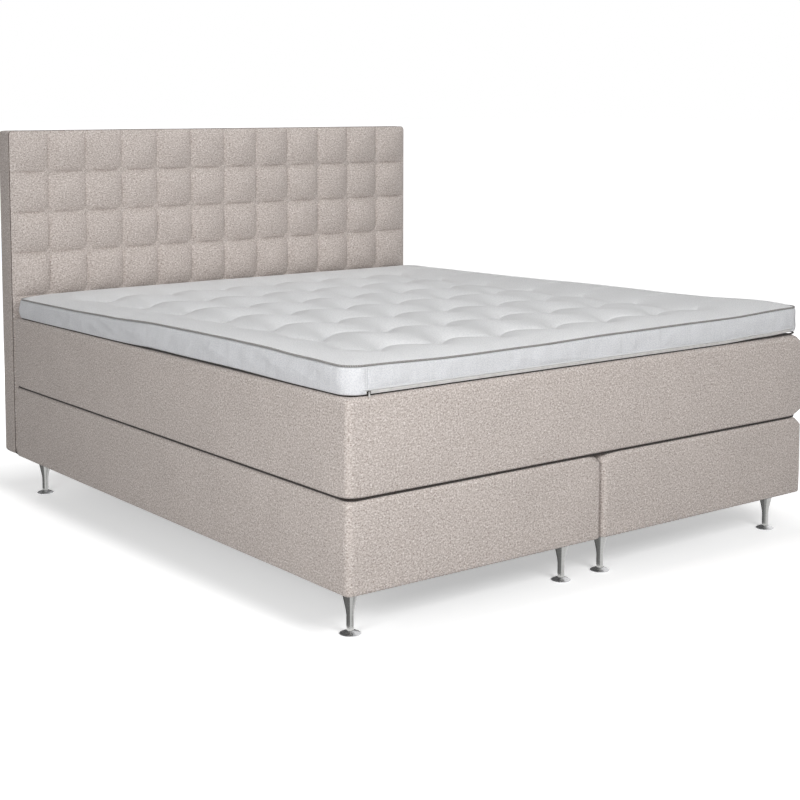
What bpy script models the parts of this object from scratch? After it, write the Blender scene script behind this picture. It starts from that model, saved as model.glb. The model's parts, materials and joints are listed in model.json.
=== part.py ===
"""Box spring bed: two upholstered bases on steel legs, one mattress, a quilted topper and a tufted headboard.

Units are metres. X runs across the bed, Y from the foot end to the headboard, Z up from the floor.
"""

import math

import bmesh
import bpy
from mathutils import Matrix, Vector

# Driving sizes of the whole bed
bed_width = 1.800
bed_length = 2.000
leg_height = 0.128
base_height = 0.247
mattress_height = 0.263
topper_height = 0.078
headboard_width = 1.760
headboard_height = 1.156
headboard_depth = 0.085
headboard_bottom = 0.118
headboard_clearance = 0.052
split_gap = 0.004
seat_gap = 0.0003
padding_clearance = 0.0007

# Upholstery shared by the bases and the mattress
cover_thickness = 0.003
corner_radius = 0.018
top_edge_radius = 0.016
base_bottom_radius = 0.006
round_steps = 4
smooth_angle = 35

# Each base: hem, timber frame, springs and padding
base_hem_width = 0.038
frame_inset = 0.015
rail_thickness = 0.022
rail_height = 0.095
slat_thickness = 0.018
slat_width = 0.070
slat_count = 11
leg_board_width = 0.130
leg_board_thickness = 0.022
centre_beam_width = 0.030
dust_cover_thickness = 0.002
base_pad_thickness = 0.030
base_spring_pitch = 0.095
spring_notch_share = 0.09

# Steel legs and their foot discs
leg_side_inset = 0.068
leg_foot_inset = 0.084
leg_head_inset = 0.086
leg_split_inset = 0.0787
leg_top_radius = 0.025
leg_top_plate = 0.0025
leg_stem_radius = 0.010
leg_stem_height = 0.051
leg_flare_steps = 6
leg_blend_share = 0.12
leg_steps = 14
stud_radius = 0.004
stud_length = 0.024
spigot_radius = 0.0045
spigot_length = 0.006
disc_radius = 0.029
disc_hub_radius = 0.0115
disc_height = 0.0105
disc_rim_height = 0.0032
disc_chamfer = 0.0008
disc_steps = 20
hole_clearance = 0.0005

# Steel plates that join the two bases under the split
joining_plate_length = 0.090
joining_plate_width = 0.040
joining_plate_thickness = 0.003
joining_plate_round = 0.006
joining_plate_hole_radius = 0.003
joining_plate_hole_inset = 0.017
joining_plate_end_inset = 0.300

# Mattress, settled a little lower at its head end
mattress_head_drop = 0.018
mattress_bottom_radius = 0.009
mattress_hem_width = 0.060
mattress_foam_thickness = 0.050
mattress_core_inset = 0.045
mattress_underside_thickness = 0.003
mattress_spring_pitch = 0.085

# Topper: quilted panel, border band, piping, core and underside
topper_inset = 0.008
topper_corner_radius = 0.048
topper_head_drop = 0.011
topper_cloth_thickness = 0.003
topper_underside_thickness = 0.002
piping_radius = 0.003
piping_steps = 8
panel_rim_depth = 0.005
panel_rim_height = 0.001
panel_crown = 0.020
panel_crown_width = 0.120
quilt_pitch_x = 0.214
quilt_pitch_y = 0.252
quilt_left_margin = 0.148
quilt_foot_margin = 0.185
quilt_least_margin = 0.160
quilt_depth = 0.016
quilt_wave_share = 0.12
quilt_sway_share = 0.05
quilt_calm_share = 0.50
quilt_fade_share = 0.30
quilt_roundness = 0.8
cell_steps = 4
corner_line_share = 0.45
margin_line_share = 0.40

# Zip along the topper's foot edge
zip_corner_inset = 0.064
zip_height = 0.0085
zip_tape_height = 0.009
zip_tape_thickness = 0.0012
zip_chain_height = 0.003
zip_chain_thickness = 0.0008
zip_flap_radius = 0.002
zip_flap_clearance = 0.0012
slider_length = 0.010
slider_height = 0.007
slider_thickness = 0.003
slider_round = 0.001
slider_pin_radius = 0.0008
pull_length = 0.0145
pull_width = 0.0045
pull_thickness = 0.0010
pull_eye_clearance = 0.0004
pull_eye_inset = 0.0024
pull_steps = 12

# Headboard: tufted front, welt, side band, foam, framed board and back cloth
tuft_columns = 12
tuft_rows = 4
tuft_height = 0.1464
tuft_crown = 0.014
tuft_roundness = 0.7
front_rim_depth = 0.006
headboard_corner_radius = 0.014
band_thickness = 0.003
welt_radius = 0.0025
headboard_foam_thickness = 0.030
board_thickness = 0.018
board_frame_width = 0.060
board_upright_width = 0.070
board_pockets = 3
back_cloth_thickness = 0.002

# Bolts and spacer sleeves that hold the headboard to the bases
bolt_radius = 0.005
bolt_height = 0.070
bolt_head_radius = 0.010
bolt_head_height = 0.006
bolt_end_inset = 0.002
bolt_access_clearance = 0.004
spacer_radius = 0.014
bolt_steps = 16

# How far a cutter runs past the piece that it cuts
overrun = 0.010

# Places that follow from the sizes above
total_length = bed_length + headboard_clearance + headboard_depth
foot_y = -total_length / 2
head_y = foot_y + bed_length
bed_centre_y = foot_y + bed_length / 2
seam_y = head_y + headboard_clearance
lining_inset = cover_thickness + seat_gap
base_width = (bed_width - split_gap) / 2
base_centre_x = (bed_width + split_gap) / 4
mattress_bottom = leg_height + base_height + seat_gap
topper_bottom = mattress_bottom + mattress_height + seat_gap
topper_width = bed_width - 2 * topper_inset
topper_length = bed_length - 2 * topper_inset
panel_inset = topper_inset + 2 * piping_radius + seat_gap
panel_corner_radius = topper_corner_radius - 2 * piping_radius - seat_gap
quilt_columns = 1 + int((bed_width - quilt_left_margin - quilt_least_margin) / quilt_pitch_x)
quilt_rows = 1 + int((bed_length - quilt_foot_margin - quilt_least_margin) / quilt_pitch_y)
board_front = headboard_foam_thickness + 2 * seat_gap
board_back = headboard_depth - back_cloth_thickness - seat_gap
board_inset = band_thickness + seat_gap


for old in list(bpy.data.objects):
    bpy.data.objects.remove(old, do_unlink=True)


def new_collection(name):
    collection = bpy.data.collections.new(name)
    bpy.context.scene.collection.children.link(collection)
    return collection


def principled(name, colour, roughness, metallic=0.0):
    material = bpy.data.materials.new(name)
    material.use_nodes = True
    shader = material.node_tree.nodes["Principled BSDF"]
    shader.inputs["Base Color"].default_value = (*colour, 1.0)
    shader.inputs["Roughness"].default_value = roughness
    shader.inputs["Metallic"].default_value = metallic
    return material


bed = new_collection("box_spring_bed")
cutters = new_collection("cutters")

beige_cloth = principled("beige_cloth", (0.47, 0.42, 0.385), 0.95)
white_ticking = principled("white_ticking", (0.72, 0.72, 0.73), 0.90)
grey_piping = principled("grey_piping", (0.25, 0.24, 0.235), 0.90)
pale_foam = principled("pale_foam", (0.78, 0.72, 0.52), 0.95)
spring_pockets = principled("spring_pockets", (0.62, 0.63, 0.64), 0.85)
timber = principled("timber", (0.60, 0.42, 0.24), 0.65)
chipboard = principled("chipboard", (0.50, 0.36, 0.22), 0.75)
lining_cloth = principled("lining_cloth", (0.305, 0.305, 0.305), 0.95)
brushed_steel = principled("brushed_steel", (0.56, 0.56, 0.55), 0.32, 1.0)
polished_chrome = principled("polished_chrome", (0.75, 0.75, 0.76), 0.08, 1.0)
zinc_steel = principled("zinc_steel", (0.50, 0.50, 0.49), 0.40, 1.0)
black_plastic = principled("black_plastic", (0.022, 0.022, 0.023), 0.50)
zip_nylon = principled("zip_nylon", (0.80, 0.80, 0.78), 0.50)
slider_metal = principled("slider_metal", (0.05, 0.05, 0.05), 0.35, 1.0)


def add_empty(name, location):
    empty = bpy.data.objects.new(name, None)
    empty.location = location
    bed.objects.link(empty)
    return empty


def add_part(name, data, material, parent, location=(0, 0, 0)):
    """One sub-part, placed from its parent empty."""
    part = bpy.data.objects.new(name, data)
    part.parent = parent
    part.location = location
    data.materials.clear()
    data.materials.append(material)
    bed.objects.link(part)
    return part


def add_cutter(name, bm, parent=None, location=(0, 0, 0)):
    cutter = bpy.data.objects.new(name, to_mesh(bm, name))
    cutter.parent = parent
    cutter.location = location
    cutter.hide_render = True
    cutter.display_type = "WIRE"
    cutters.objects.link(cutter)
    return cutter


def to_mesh(bm, name):
    mesh = bpy.data.meshes.new(name)
    bm.to_mesh(mesh)
    bm.free()
    return mesh


def add_box(bm, low, high):
    """A cube primitive stretched between two corners."""
    low, high = Vector(low), Vector(high)
    made = bmesh.ops.create_cube(bm, size=1.0)["verts"]
    bmesh.ops.scale(bm, vec=high - low, verts=made)
    bmesh.ops.translate(bm, vec=(low + high) / 2, verts=made)


def box(low, high):
    bm = bmesh.new()
    add_box(bm, low, high)
    return bm


def add_rod(bm, radius, start, length, axis, steps):
    """A capped cylinder that runs from start along the named axis."""
    turns = {"Y": Matrix.Rotation(-math.pi / 2, 4, "X"), "Z": Matrix.Identity(4)}
    middle = turns[axis] @ Vector((0, 0, length / 2))
    place = Matrix.Translation(Vector(start) + middle) @ turns[axis]
    bmesh.ops.create_cone(
        bm, cap_ends=True, segments=steps, radius1=radius, radius2=radius, depth=length, matrix=place
    )


def faces_towards(bm, direction):
    bm.normal_update()
    return [face for face in bm.faces if face.normal.dot(Vector(direction)) > math.cos(math.pi / 8)]


def open_side(bm, direction):
    bmesh.ops.delete(bm, geom=faces_towards(bm, direction), context="FACES_ONLY")


def weigh_edges(bm, radius_of):
    """Stores each edge's bevel radius as a share of the largest one, and returns that one."""
    layer = bm.edges.layers.float.new("bevel_weight_edge")
    radii = [radius_of(*(vert.co for vert in edge.verts)) for edge in bm.edges]
    largest = max(radii)
    for edge, radius in zip(bm.edges, radii):
        edge[layer] = radius / largest
    return largest


def upright_and_level(upright, top, bottom):
    """Bevel radius of a block's edge: its upright corners, its top edges or its bottom edges."""

    def radius_of(a, b):
        if abs(a.x - b.x) + abs(a.y - b.y) < abs(a.z - b.z):
            return upright
        return top if (a.z + b.z) / 2 > upright else bottom

    return radius_of


def only_along(axis, radius):
    """Bevel radius of a block whose edges along one axis alone are rounded."""
    index = "XYZ".index(axis)

    def radius_of(a, b):
        run = b - a
        return radius if abs(run[index]) > run.length / 2 else 0

    return radius_of


def round_edges(part, radius, steps=round_steps):
    bevel = part.modifiers.new("Rounded edges", "BEVEL")
    bevel.limit_method = "WEIGHT"
    bevel.width = radius
    bevel.segments = steps


def thicken_inwards(part, thickness):
    shell = part.modifiers.new("Cloth", "SOLIDIFY")
    shell.thickness = thickness
    shell.offset = -1
    shell.use_even_offset = True


def boolean(part, other, operation):
    change = part.modifiers.new(other.name, "BOOLEAN")
    change.operation = operation
    change.solver = "EXACT"
    change.object = other


def drill(cutter, *pieces):
    for piece in pieces:
        boolean(piece, cutter, "DIFFERENCE")


def smooth(part):
    part.data.shade_smooth()
    part.data.set_sharp_from_angle(angle=math.radians(smooth_angle))
    return part


def turned(name, profile, steps, material, parent, location, ring=False):
    """A round piece: its profile of (radius, height) points, from the top down, turned about Z."""
    bm = bmesh.new()
    points = [bm.verts.new((radius, 0, height)) for radius, height in profile]
    followers = points[1:] + points[:1] if ring else points[1:]
    for point, follower in zip(points, followers):
        bm.edges.new((point, follower))
    part = add_part(name, to_mesh(bm, name), material, parent, location)
    screw = part.modifiers.new("Turned", "SCREW")
    screw.steps = steps
    screw.render_steps = steps
    screw.use_merge_vertices = True
    screw.merge_threshold = 0.00001
    screw.use_smooth_shade = True
    return part


def head_share(y):
    """0 at the foot end and 1 at the head end, for a y from the bed's middle."""
    return y / bed_length + 1 / 2


def lower_top(bm, drop):
    """Tilts a block's top down towards the head end."""
    middle = sum(vert.co.z for vert in bm.verts) / len(bm.verts)
    for vert in bm.verts:
        if vert.co.z > middle:
            vert.co.z -= drop * head_share(vert.co.y)


def cushion_block(width, bottom, top, inset, bottom_radius, drop):
    """(bmesh, largest radius) of a rounded block that lies this inset inside a base or the mattress."""
    half_width, half_length = width / 2 - inset, bed_length / 2 - inset
    bm = box((-half_width, -half_length, bottom), (half_width, half_length, top))
    lower_top(bm, drop)
    radius_of = upright_and_level(corner_radius - inset, top_edge_radius - inset, bottom_radius)
    return bm, weigh_edges(bm, radius_of)


def padded_cover(name, width, height, bottom_radius, hem, drop, parent):
    """Cloth over a rounded block, open underneath inside its turned hem."""
    bm, largest = cushion_block(width, 0, height, 0, bottom_radius, drop)
    cover = add_part(name, to_mesh(bm, name), beige_cloth, parent)
    round_edges(cover, largest)
    ceiling = height - cover_thickness
    room_radius = bottom_radius - cover_thickness
    bm, largest = cushion_block(width, cover_thickness, ceiling, cover_thickness, room_radius, drop)
    room = add_cutter(name + "_room", bm, parent)
    round_edges(room, largest)
    half_x, half_y = width / 2 - hem, bed_length / 2 - hem
    opening = box((-half_x, -half_y, -overrun), (half_x, half_y, overrun))
    drill(room, cover)
    drill(add_cutter(name + "_opening", opening, parent), cover)
    return smooth(cover)


def hollow_padding(name, width, height, bottom_radius, thickness, core_inset, drop, parent):
    """Foam cap inside a cover: it lies over the core and hangs down to where the cover turns under."""
    inset = cover_thickness + padding_clearance
    bm, largest = cushion_block(width, bottom_radius, height - inset, inset, 0, drop)
    pad = add_part(name, to_mesh(bm, name), pale_foam, parent)
    round_edges(pad, largest)
    room = core_inset - seat_gap
    half_x, half_y = width / 2 - room, bed_length / 2 - room
    cavity = box((-half_x, -half_y, -overrun), (half_x, half_y, height - cover_thickness - thickness))
    drill(add_cutter(name + "_cavity", cavity, parent), pad)
    return smooth(pad)


def scalloped_outline(width, length, pitch):
    """Outline of a spring unit: a flat-fronted lobe for each spring, with a notch between two lobes."""
    notch = pitch * spring_notch_share
    sides = (
        (Vector((-width / 2, -length / 2)), Vector((1, 0)), width),
        (Vector((width / 2, -length / 2)), Vector((0, 1)), length),
        (Vector((width / 2, length / 2)), Vector((-1, 0)), width),
        (Vector((-width / 2, length / 2)), Vector((0, -1)), length),
    )
    points = []
    for corner, along, run in sides:
        inward = Vector((-along.y, along.x))
        lobes = round(run / pitch)
        step = along * run / lobes
        for lobe in range(lobes):
            start = corner + step * lobe
            if lobe:
                points.append(start + inward * notch)
            points.append(start + along * notch)
            points.append(start + step - along * notch)
    return points


def spring_unit(name, width, length, bottom, top, pitch, parent):
    outline = scalloped_outline(width, length, pitch)
    curve = bpy.data.curves.new(name, "CURVE")
    curve.dimensions = "2D"
    curve.fill_mode = "BOTH"
    curve.extrude = (top - bottom) / 2
    draw_line(curve, [(place.x, place.y, 0) for place in outline]).use_cyclic_u = True
    return add_part(name, curve, spring_pockets, parent, (0, 0, (bottom + top) / 2))


# The two bases


def leg_places(side):
    """(name, x, y) of one base's four legs in the bed's frame. Side is -1 on the left, 1 on the right."""
    outer = side * (bed_width / 2 - leg_side_inset)
    inner = side * leg_split_inset
    foot, head = foot_y + leg_foot_inset, head_y - leg_head_inset
    return (
        ("foot_outer", outer, foot),
        ("foot_inner", inner, foot),
        ("head_outer", outer, head),
        ("head_inner", inner, head),
    )


def stud_holes(name, side, parent):
    bm = bmesh.new()
    length = stud_length + 2 * overrun
    for _, x, y in leg_places(side):
        start = (x - parent.location.x, y - parent.location.y, -overrun)
        add_rod(bm, stud_radius + hole_clearance, start, length, "Z", leg_steps)
    return add_cutter(name, bm, parent)


def rail(name, low_x, low_y, high_x, high_y, parent):
    bm = box((low_x, low_y, lining_inset), (high_x, high_y, lining_inset + rail_height))
    return add_part(name, to_mesh(bm, name), timber, parent)


def slat_frame(name, half_width, half_length, parent):
    """Centre beam with the slats on top and, underneath, the two boards that the legs screw into."""
    top = lining_inset + rail_height
    beam = box(
        (-centre_beam_width / 2, -half_length, lining_inset), (centre_beam_width / 2, half_length, top)
    )
    frame = add_part(name, to_mesh(beam, name), timber, parent)
    boards = bmesh.new()
    pitch = (2 * half_length - slat_width) / (slat_count - 1)
    for slat in range(slat_count):
        start = pitch * slat - half_length
        add_box(
            boards, (-half_width, start, top - slat_thickness), (half_width, start + slat_width, top)
        )
    for y in (foot_y + leg_foot_inset, head_y - leg_head_inset):
        middle = y - bed_centre_y
        start = max(middle - leg_board_width / 2, -half_length)
        end = min(middle + leg_board_width / 2, half_length)
        add_box(
            boards, (-half_width, start, lining_inset), (half_width, end, lining_inset + leg_board_thickness)
        )
    boolean(frame, add_cutter(name + "_boards", boards, parent), "UNION")
    return frame


def upholstered_base(side_name, side, bolt_holes):
    parent = add_empty(side_name + "_base", (side * base_centre_x, bed_centre_y, leg_height))
    cover = padded_cover(
        side_name + "_base_cover", base_width, base_height, base_bottom_radius, base_hem_width, 0, parent
    )
    foam = hollow_padding(
        side_name + "_base_foam",
        base_width,
        base_height,
        base_bottom_radius,
        base_pad_thickness,
        frame_inset,
        0,
        parent,
    )
    half_width = base_width / 2 - frame_inset
    half_length = bed_length / 2 - frame_inset
    inner_width = half_width - rail_thickness
    rail(side_name + "_base_left_rail", -half_width, -half_length, -inner_width, half_length, parent)
    rail(side_name + "_base_right_rail", inner_width, -half_length, half_width, half_length, parent)
    end = inner_width - seat_gap
    inner_length = half_length - rail_thickness
    head_rail = rail(side_name + "_base_head_rail", -end, inner_length, end, half_length, parent)
    rail(side_name + "_base_foot_rail", -end, -half_length, end, -inner_length, parent)
    slats = slat_frame(side_name + "_base_slats", end, inner_length - seat_gap, parent)
    frame_top = lining_inset + rail_height
    spring_top = base_height - cover_thickness - base_pad_thickness - seat_gap
    spring_unit(
        side_name + "_base_springs",
        2 * half_width,
        2 * half_length,
        frame_top + seat_gap,
        spring_top,
        base_spring_pitch,
        parent,
    )
    opening = base_hem_width + seat_gap
    half_opening_x, half_opening_y = base_width / 2 - opening, bed_length / 2 - opening
    bm = box((-half_opening_x, -half_opening_y, 0), (half_opening_x, half_opening_y, dust_cover_thickness))
    dust_cover = add_part(
        side_name + "_base_dust_cover", to_mesh(bm, side_name + "_base_dust_cover"), lining_cloth, parent
    )
    drill(stud_holes(side_name + "_stud_holes", side, parent), slats, dust_cover)
    drill(bolt_holes, cover, foam, head_rail)


def blended(share, blend_share):
    """A straight rise from 0 to 1 that starts softly, like a hyperbola."""
    return (math.hypot(share, blend_share) - blend_share) / (math.hypot(1, blend_share) - blend_share)


def leg_profile():
    """Stud, mounting face, cone down to the slim stem, and the spigot that stands in the foot disc."""
    top = leg_height - seat_gap
    seat = disc_height + seat_gap
    points = [(0, top + stud_length), (stud_radius, top + stud_length), (stud_radius, top)]
    points.append((leg_top_radius, top))
    flare_top = top - leg_top_plate
    for step in range(leg_flare_steps + 1):
        share = 1 - step / leg_flare_steps
        radius = leg_stem_radius + (leg_top_radius - leg_stem_radius) * blended(share, leg_blend_share)
        points.append((radius, leg_stem_height + (flare_top - leg_stem_height) * share))
    points += [(leg_stem_radius, seat), (spigot_radius, seat)]
    points += [(spigot_radius, seat - spigot_length), (0, seat - spigot_length)]
    return points


def disc_profile():
    """Socket for the leg's spigot, hub, shallow cone and rim of a foot disc."""
    socket_radius = spigot_radius + hole_clearance
    socket_floor = disc_height - spigot_length
    return [
        (0, socket_floor),
        (socket_radius, socket_floor),
        (socket_radius, disc_height),
        (disc_hub_radius, disc_height),
        (disc_radius - disc_chamfer, disc_rim_height),
        (disc_radius, disc_rim_height - disc_chamfer),
        (disc_radius, disc_chamfer),
        (disc_radius - disc_chamfer, 0),
        (0, 0),
    ]


def legs_and_discs(side_name, side, parent):
    for place, x, y in leg_places(side):
        name = side_name + "_" + place
        turned(name + "_leg", leg_profile(), leg_steps, brushed_steel, parent, (x, y, 0))
        turned(name + "_foot_disc", disc_profile(), disc_steps, polished_chrome, parent, (x, y, 0))


def joining_plates(parent):
    """Flat plates screwed under both bases, across the split."""
    half = joining_plate_length / 2
    for end_name, y in (
        ("foot", foot_y + joining_plate_end_inset),
        ("head", head_y - joining_plate_end_inset),
    ):
        name = end_name + "_joining_plate"
        low = (-half, -joining_plate_width / 2, -joining_plate_thickness)
        bm = box(low, (half, joining_plate_width / 2, 0))
        largest = weigh_edges(bm, only_along("Z", joining_plate_round))
        plate = add_part(name, to_mesh(bm, name), zinc_steel, parent, (0, y, leg_height - seat_gap))
        round_edges(plate, largest)
        holes = bmesh.new()
        for side in (-1, 1):
            start = (side * (half - joining_plate_hole_inset), 0, -joining_plate_thickness - overrun)
            depth = joining_plate_thickness + 2 * overrun
            add_rod(holes, joining_plate_hole_radius, start, depth, "Z", leg_steps)
        drill(add_cutter(name + "_holes", holes, parent, plate.location), plate)


# Mattress


def mattress():
    parent = add_empty("mattress", (0, bed_centre_y, mattress_bottom))
    padded_cover(
        "mattress_cover",
        bed_width,
        mattress_height,
        mattress_bottom_radius,
        mattress_hem_width,
        mattress_head_drop,
        parent,
    )
    hollow_padding(
        "mattress_foam",
        bed_width,
        mattress_height,
        mattress_bottom_radius,
        mattress_foam_thickness,
        mattress_core_inset,
        mattress_head_drop,
        parent,
    )
    spring_unit(
        "mattress_springs",
        bed_width - 2 * mattress_core_inset,
        bed_length - 2 * mattress_core_inset,
        mattress_underside_thickness + seat_gap,
        mattress_height - cover_thickness - mattress_foam_thickness - seat_gap,
        mattress_spring_pitch,
        parent,
    )
    opening = mattress_hem_width + seat_gap
    half_x, half_y = bed_width / 2 - opening, bed_length / 2 - opening
    bm = box((-half_x, -half_y, 0), (half_x, half_y, mattress_underside_thickness))
    add_part("mattress_underside", to_mesh(bm, "mattress_underside"), lining_cloth, parent)


# Topper


def settle(bm):
    """Lays a topper piece on the mattress, lower at the head end, where the topper is thinner too."""
    for vert in bm.verts:
        vert.co.z = settled(vert.co.y, vert.co.z)


def settled(y, z):
    return z - head_share(y) * (mattress_head_drop + topper_head_drop * z / topper_height)


def topper_block(name, inset, low, high, material, parent, hollow=False):
    """A flat block with the topper's rounded outline, or only its upright walls as a band."""
    half_x, half_y = topper_width / 2 - inset, topper_length / 2 - inset
    bm = box((-half_x, -half_y, low), (half_x, half_y, high))
    settle(bm)
    largest = weigh_edges(bm, only_along("Z", topper_corner_radius - inset))
    if hollow:
        open_side(bm, (0, 0, 1))
        open_side(bm, (0, 0, -1))
    part = add_part(name, to_mesh(bm, name), material, parent)
    round_edges(part, largest)
    if hollow:
        thicken_inwards(part, topper_cloth_thickness)
    return smooth(part)


def rounded_outline(width, height, radius, steps):
    """Points round a rectangle with arcs at its corners."""
    points = []
    for corner, (sx, sy) in enumerate(((1, 1), (-1, 1), (-1, -1), (1, -1))):
        for step in range(steps + 1):
            angle = math.pi / 2 * (corner + step / steps)
            x = sx * (width / 2 - radius) + radius * math.cos(angle)
            y = sy * (height / 2 - radius) + radius * math.sin(angle)
            points.append((x, y))
    return points


def tube_curve(name, radius):
    curve = bpy.data.curves.new(name, "CURVE")
    curve.dimensions = "3D"
    curve.bevel_depth = radius
    curve.bevel_resolution = 1
    return curve


def draw_line(curve, points):
    spline = curve.splines.new("POLY")
    spline.points.add(len(points) - 1)
    for point, place in zip(spline.points, points):
        point.co = (*place, 1)
    return spline


def ring_tube(name, points, radius, material, parent):
    """A cord along a closed line of points."""
    curve = tube_curve(name, radius)
    draw_line(curve, points).use_cyclic_u = True
    return add_part(name, curve, material, parent)


def panel_lines(size, first, pitch, count):
    """Grid lines across the quilted panel: close ones at its corners, and cell_steps to each quilted cell."""
    half = size / 2
    near, far = panel_corner_radius * corner_line_share, panel_corner_radius
    quilted = [first + pitch * step / cell_steps for step in range((count - 1) * cell_steps + 1)]
    margin = quilted[-1] + (half - far - quilted[-1]) * margin_line_share
    return [-half, near - half, far - half, *quilted, margin, half - far, half - near, half]


def pulled_round(x, y, half_x, half_y, radius):
    """Moves a point of a rectangle's corner square on to the matching arc."""
    a, b = abs(x) - (half_x - radius), abs(y) - (half_y - radius)
    if a <= 0 or b <= 0:
        return x, y
    share = max(a, b) / math.hypot(a, b)
    return (
        math.copysign(half_x - radius + a * share, x),
        math.copysign(half_y - radius + b * share, y),
    )


def past_field(cell, count):
    """How many cells a place lies outside the quilted field, or 0 inside it."""
    return max(0, -cell, cell - (count - 1))


def puff(cell, count):
    """0 on a line of stitching and 1 half a cell away from it."""
    outside = past_field(cell, count)
    share = min(outside, 1 / 2) if outside else cell % 1
    return math.sin(math.pi * share) ** quilt_roundness


def grid_surface(x_lines, y_lines):
    """A grid primitive, with its lines moved to the given places."""
    bm = bmesh.new()
    columns, rows = len(x_lines) - 1, len(y_lines) - 1
    bmesh.ops.create_grid(bm, x_segments=columns, y_segments=rows, size=1.0)
    for vert in bm.verts:
        column = round((vert.co.x + 1) / 2 * columns)
        row = round((vert.co.y + 1) / 2 * rows)
        vert.co = (x_lines[column], y_lines[row], 0)
    return bm


def close_behind(bm, back_place):
    """Walls from the open rim of a surface to a flat back, and the back itself."""
    rim = [edge for edge in bm.edges if edge.is_boundary]
    made = bmesh.ops.extrude_edge_only(bm, edges=rim)["geom"]
    for vert in made:
        if isinstance(vert, bmesh.types.BMVert):
            vert.co = back_place(vert.co)
    new_edges = [edge for edge in made if isinstance(edge, bmesh.types.BMEdge)]
    bmesh.ops.holes_fill(bm, edges=new_edges, sides=0)
    bmesh.ops.recalc_face_normals(bm, faces=bm.faces)


def quilted_panel(parent):
    """The topper's top: a crowned panel with wavy lines of stitching, which cross in a grid of tufts."""
    width, length = bed_width - 2 * panel_inset, bed_length - 2 * panel_inset
    first_x, first_y = quilt_left_margin - bed_width / 2, quilt_foot_margin - bed_length / 2
    x_lines = panel_lines(width, first_x, quilt_pitch_x, quilt_columns)
    y_lines = panel_lines(length, first_y, quilt_pitch_y, quilt_rows)
    bm = grid_surface(x_lines, y_lines)
    for vert in bm.verts:
        x, y = vert.co.x, vert.co.y
        u, v = (x - first_x) / quilt_pitch_x, (y - first_y) / quilt_pitch_y
        edge = min(width / 2 - abs(x), length / 2 - abs(y))
        calm = min(1, edge / panel_crown_width)
        crown = panel_crown * math.sin(math.pi / 2 * calm)
        run_u = max(0, 1 - past_field(u, quilt_columns) / quilt_fade_share)
        run_v = max(0, 1 - past_field(v, quilt_rows) / quilt_fade_share)
        groove_u = run_v * (1 - puff(u, quilt_columns))
        groove_v = run_u * (1 - puff(v, quilt_rows))
        sunk = 1 - (1 - groove_u) * (1 - groove_v)
        calm_u = max(0, 1 - past_field(u, quilt_columns) / quilt_calm_share)
        calm_v = max(0, 1 - past_field(v, quilt_rows) / quilt_calm_share)
        waved = calm * calm_u * calm_v
        x -= waved * quilt_sway_share * quilt_pitch_x * math.sin(2 * math.pi * v)
        y -= waved * quilt_wave_share * quilt_pitch_y * math.sin(2 * math.pi * u)
        x, y = pulled_round(x, y, width / 2, length / 2, panel_corner_radius)
        vert.co = (x, y, topper_height + panel_rim_height + crown - calm * quilt_depth * sunk)
    close_behind(bm, lambda place: (place.x, place.y, topper_height - panel_rim_depth))
    settle(bm)
    name = "topper_quilted_panel"
    smooth(add_part(name, to_mesh(bm, name), white_ticking, parent))


def topper():
    parent = add_empty("topper", (0, bed_centre_y, topper_bottom))
    topper_block("topper_underside", 0, 0, topper_underside_thickness, white_ticking, parent)
    border_low = topper_underside_thickness + seat_gap
    border_high = topper_height - piping_radius - seat_gap
    topper_block("topper_border", 0, border_low, border_high, white_ticking, parent, hollow=True)
    core_inset = topper_cloth_thickness + seat_gap
    core_high = topper_height - panel_rim_depth - seat_gap
    topper_block("topper_core", core_inset, border_low, core_high, pale_foam, parent)
    outline = rounded_outline(
        topper_width - 2 * piping_radius,
        topper_length - 2 * piping_radius,
        topper_corner_radius - piping_radius,
        piping_steps,
    )
    line = [(x, y, settled(y, topper_height)) for x, y in outline]
    ring_tube("topper_piping", line, piping_radius, grey_piping, parent)
    quilted_panel(parent)
    zip_tape(parent)
    zip_flap(parent)


def zip_tape(parent):
    """Tape along the foot side of the border, with its closed chain as a ridge."""
    half = bed_width / 2 - zip_corner_inset
    back = -topper_length / 2 - seat_gap
    low = (-half, back - zip_tape_thickness, zip_height - zip_tape_height / 2)
    bm = box(low, (half, back, zip_height + zip_tape_height / 2))
    ridge = (zip_tape_height - zip_chain_height) / 2
    front = faces_towards(bm, (0, -1, 0))
    bmesh.ops.inset_individual(bm, faces=front, thickness=ridge, depth=zip_chain_thickness)
    add_part("topper_zip_tape", to_mesh(bm, "topper_zip_tape"), zip_nylon, parent)


def zip_flap(parent):
    """Rolled edge of the border cloth, which runs over the zip from corner to corner."""
    half = bed_width / 2 - topper_inset - topper_corner_radius
    y = -topper_length / 2 - seat_gap - zip_flap_radius
    z = zip_height + slider_height / 2 + zip_flap_clearance + zip_flap_radius
    curve = tube_curve("topper_zip_flap", zip_flap_radius)
    curve.use_fill_caps = True
    draw_line(curve, [(-half, y, z), (half, y, z)])
    add_part("topper_zip_flap", curve, white_ticking, parent)


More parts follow.
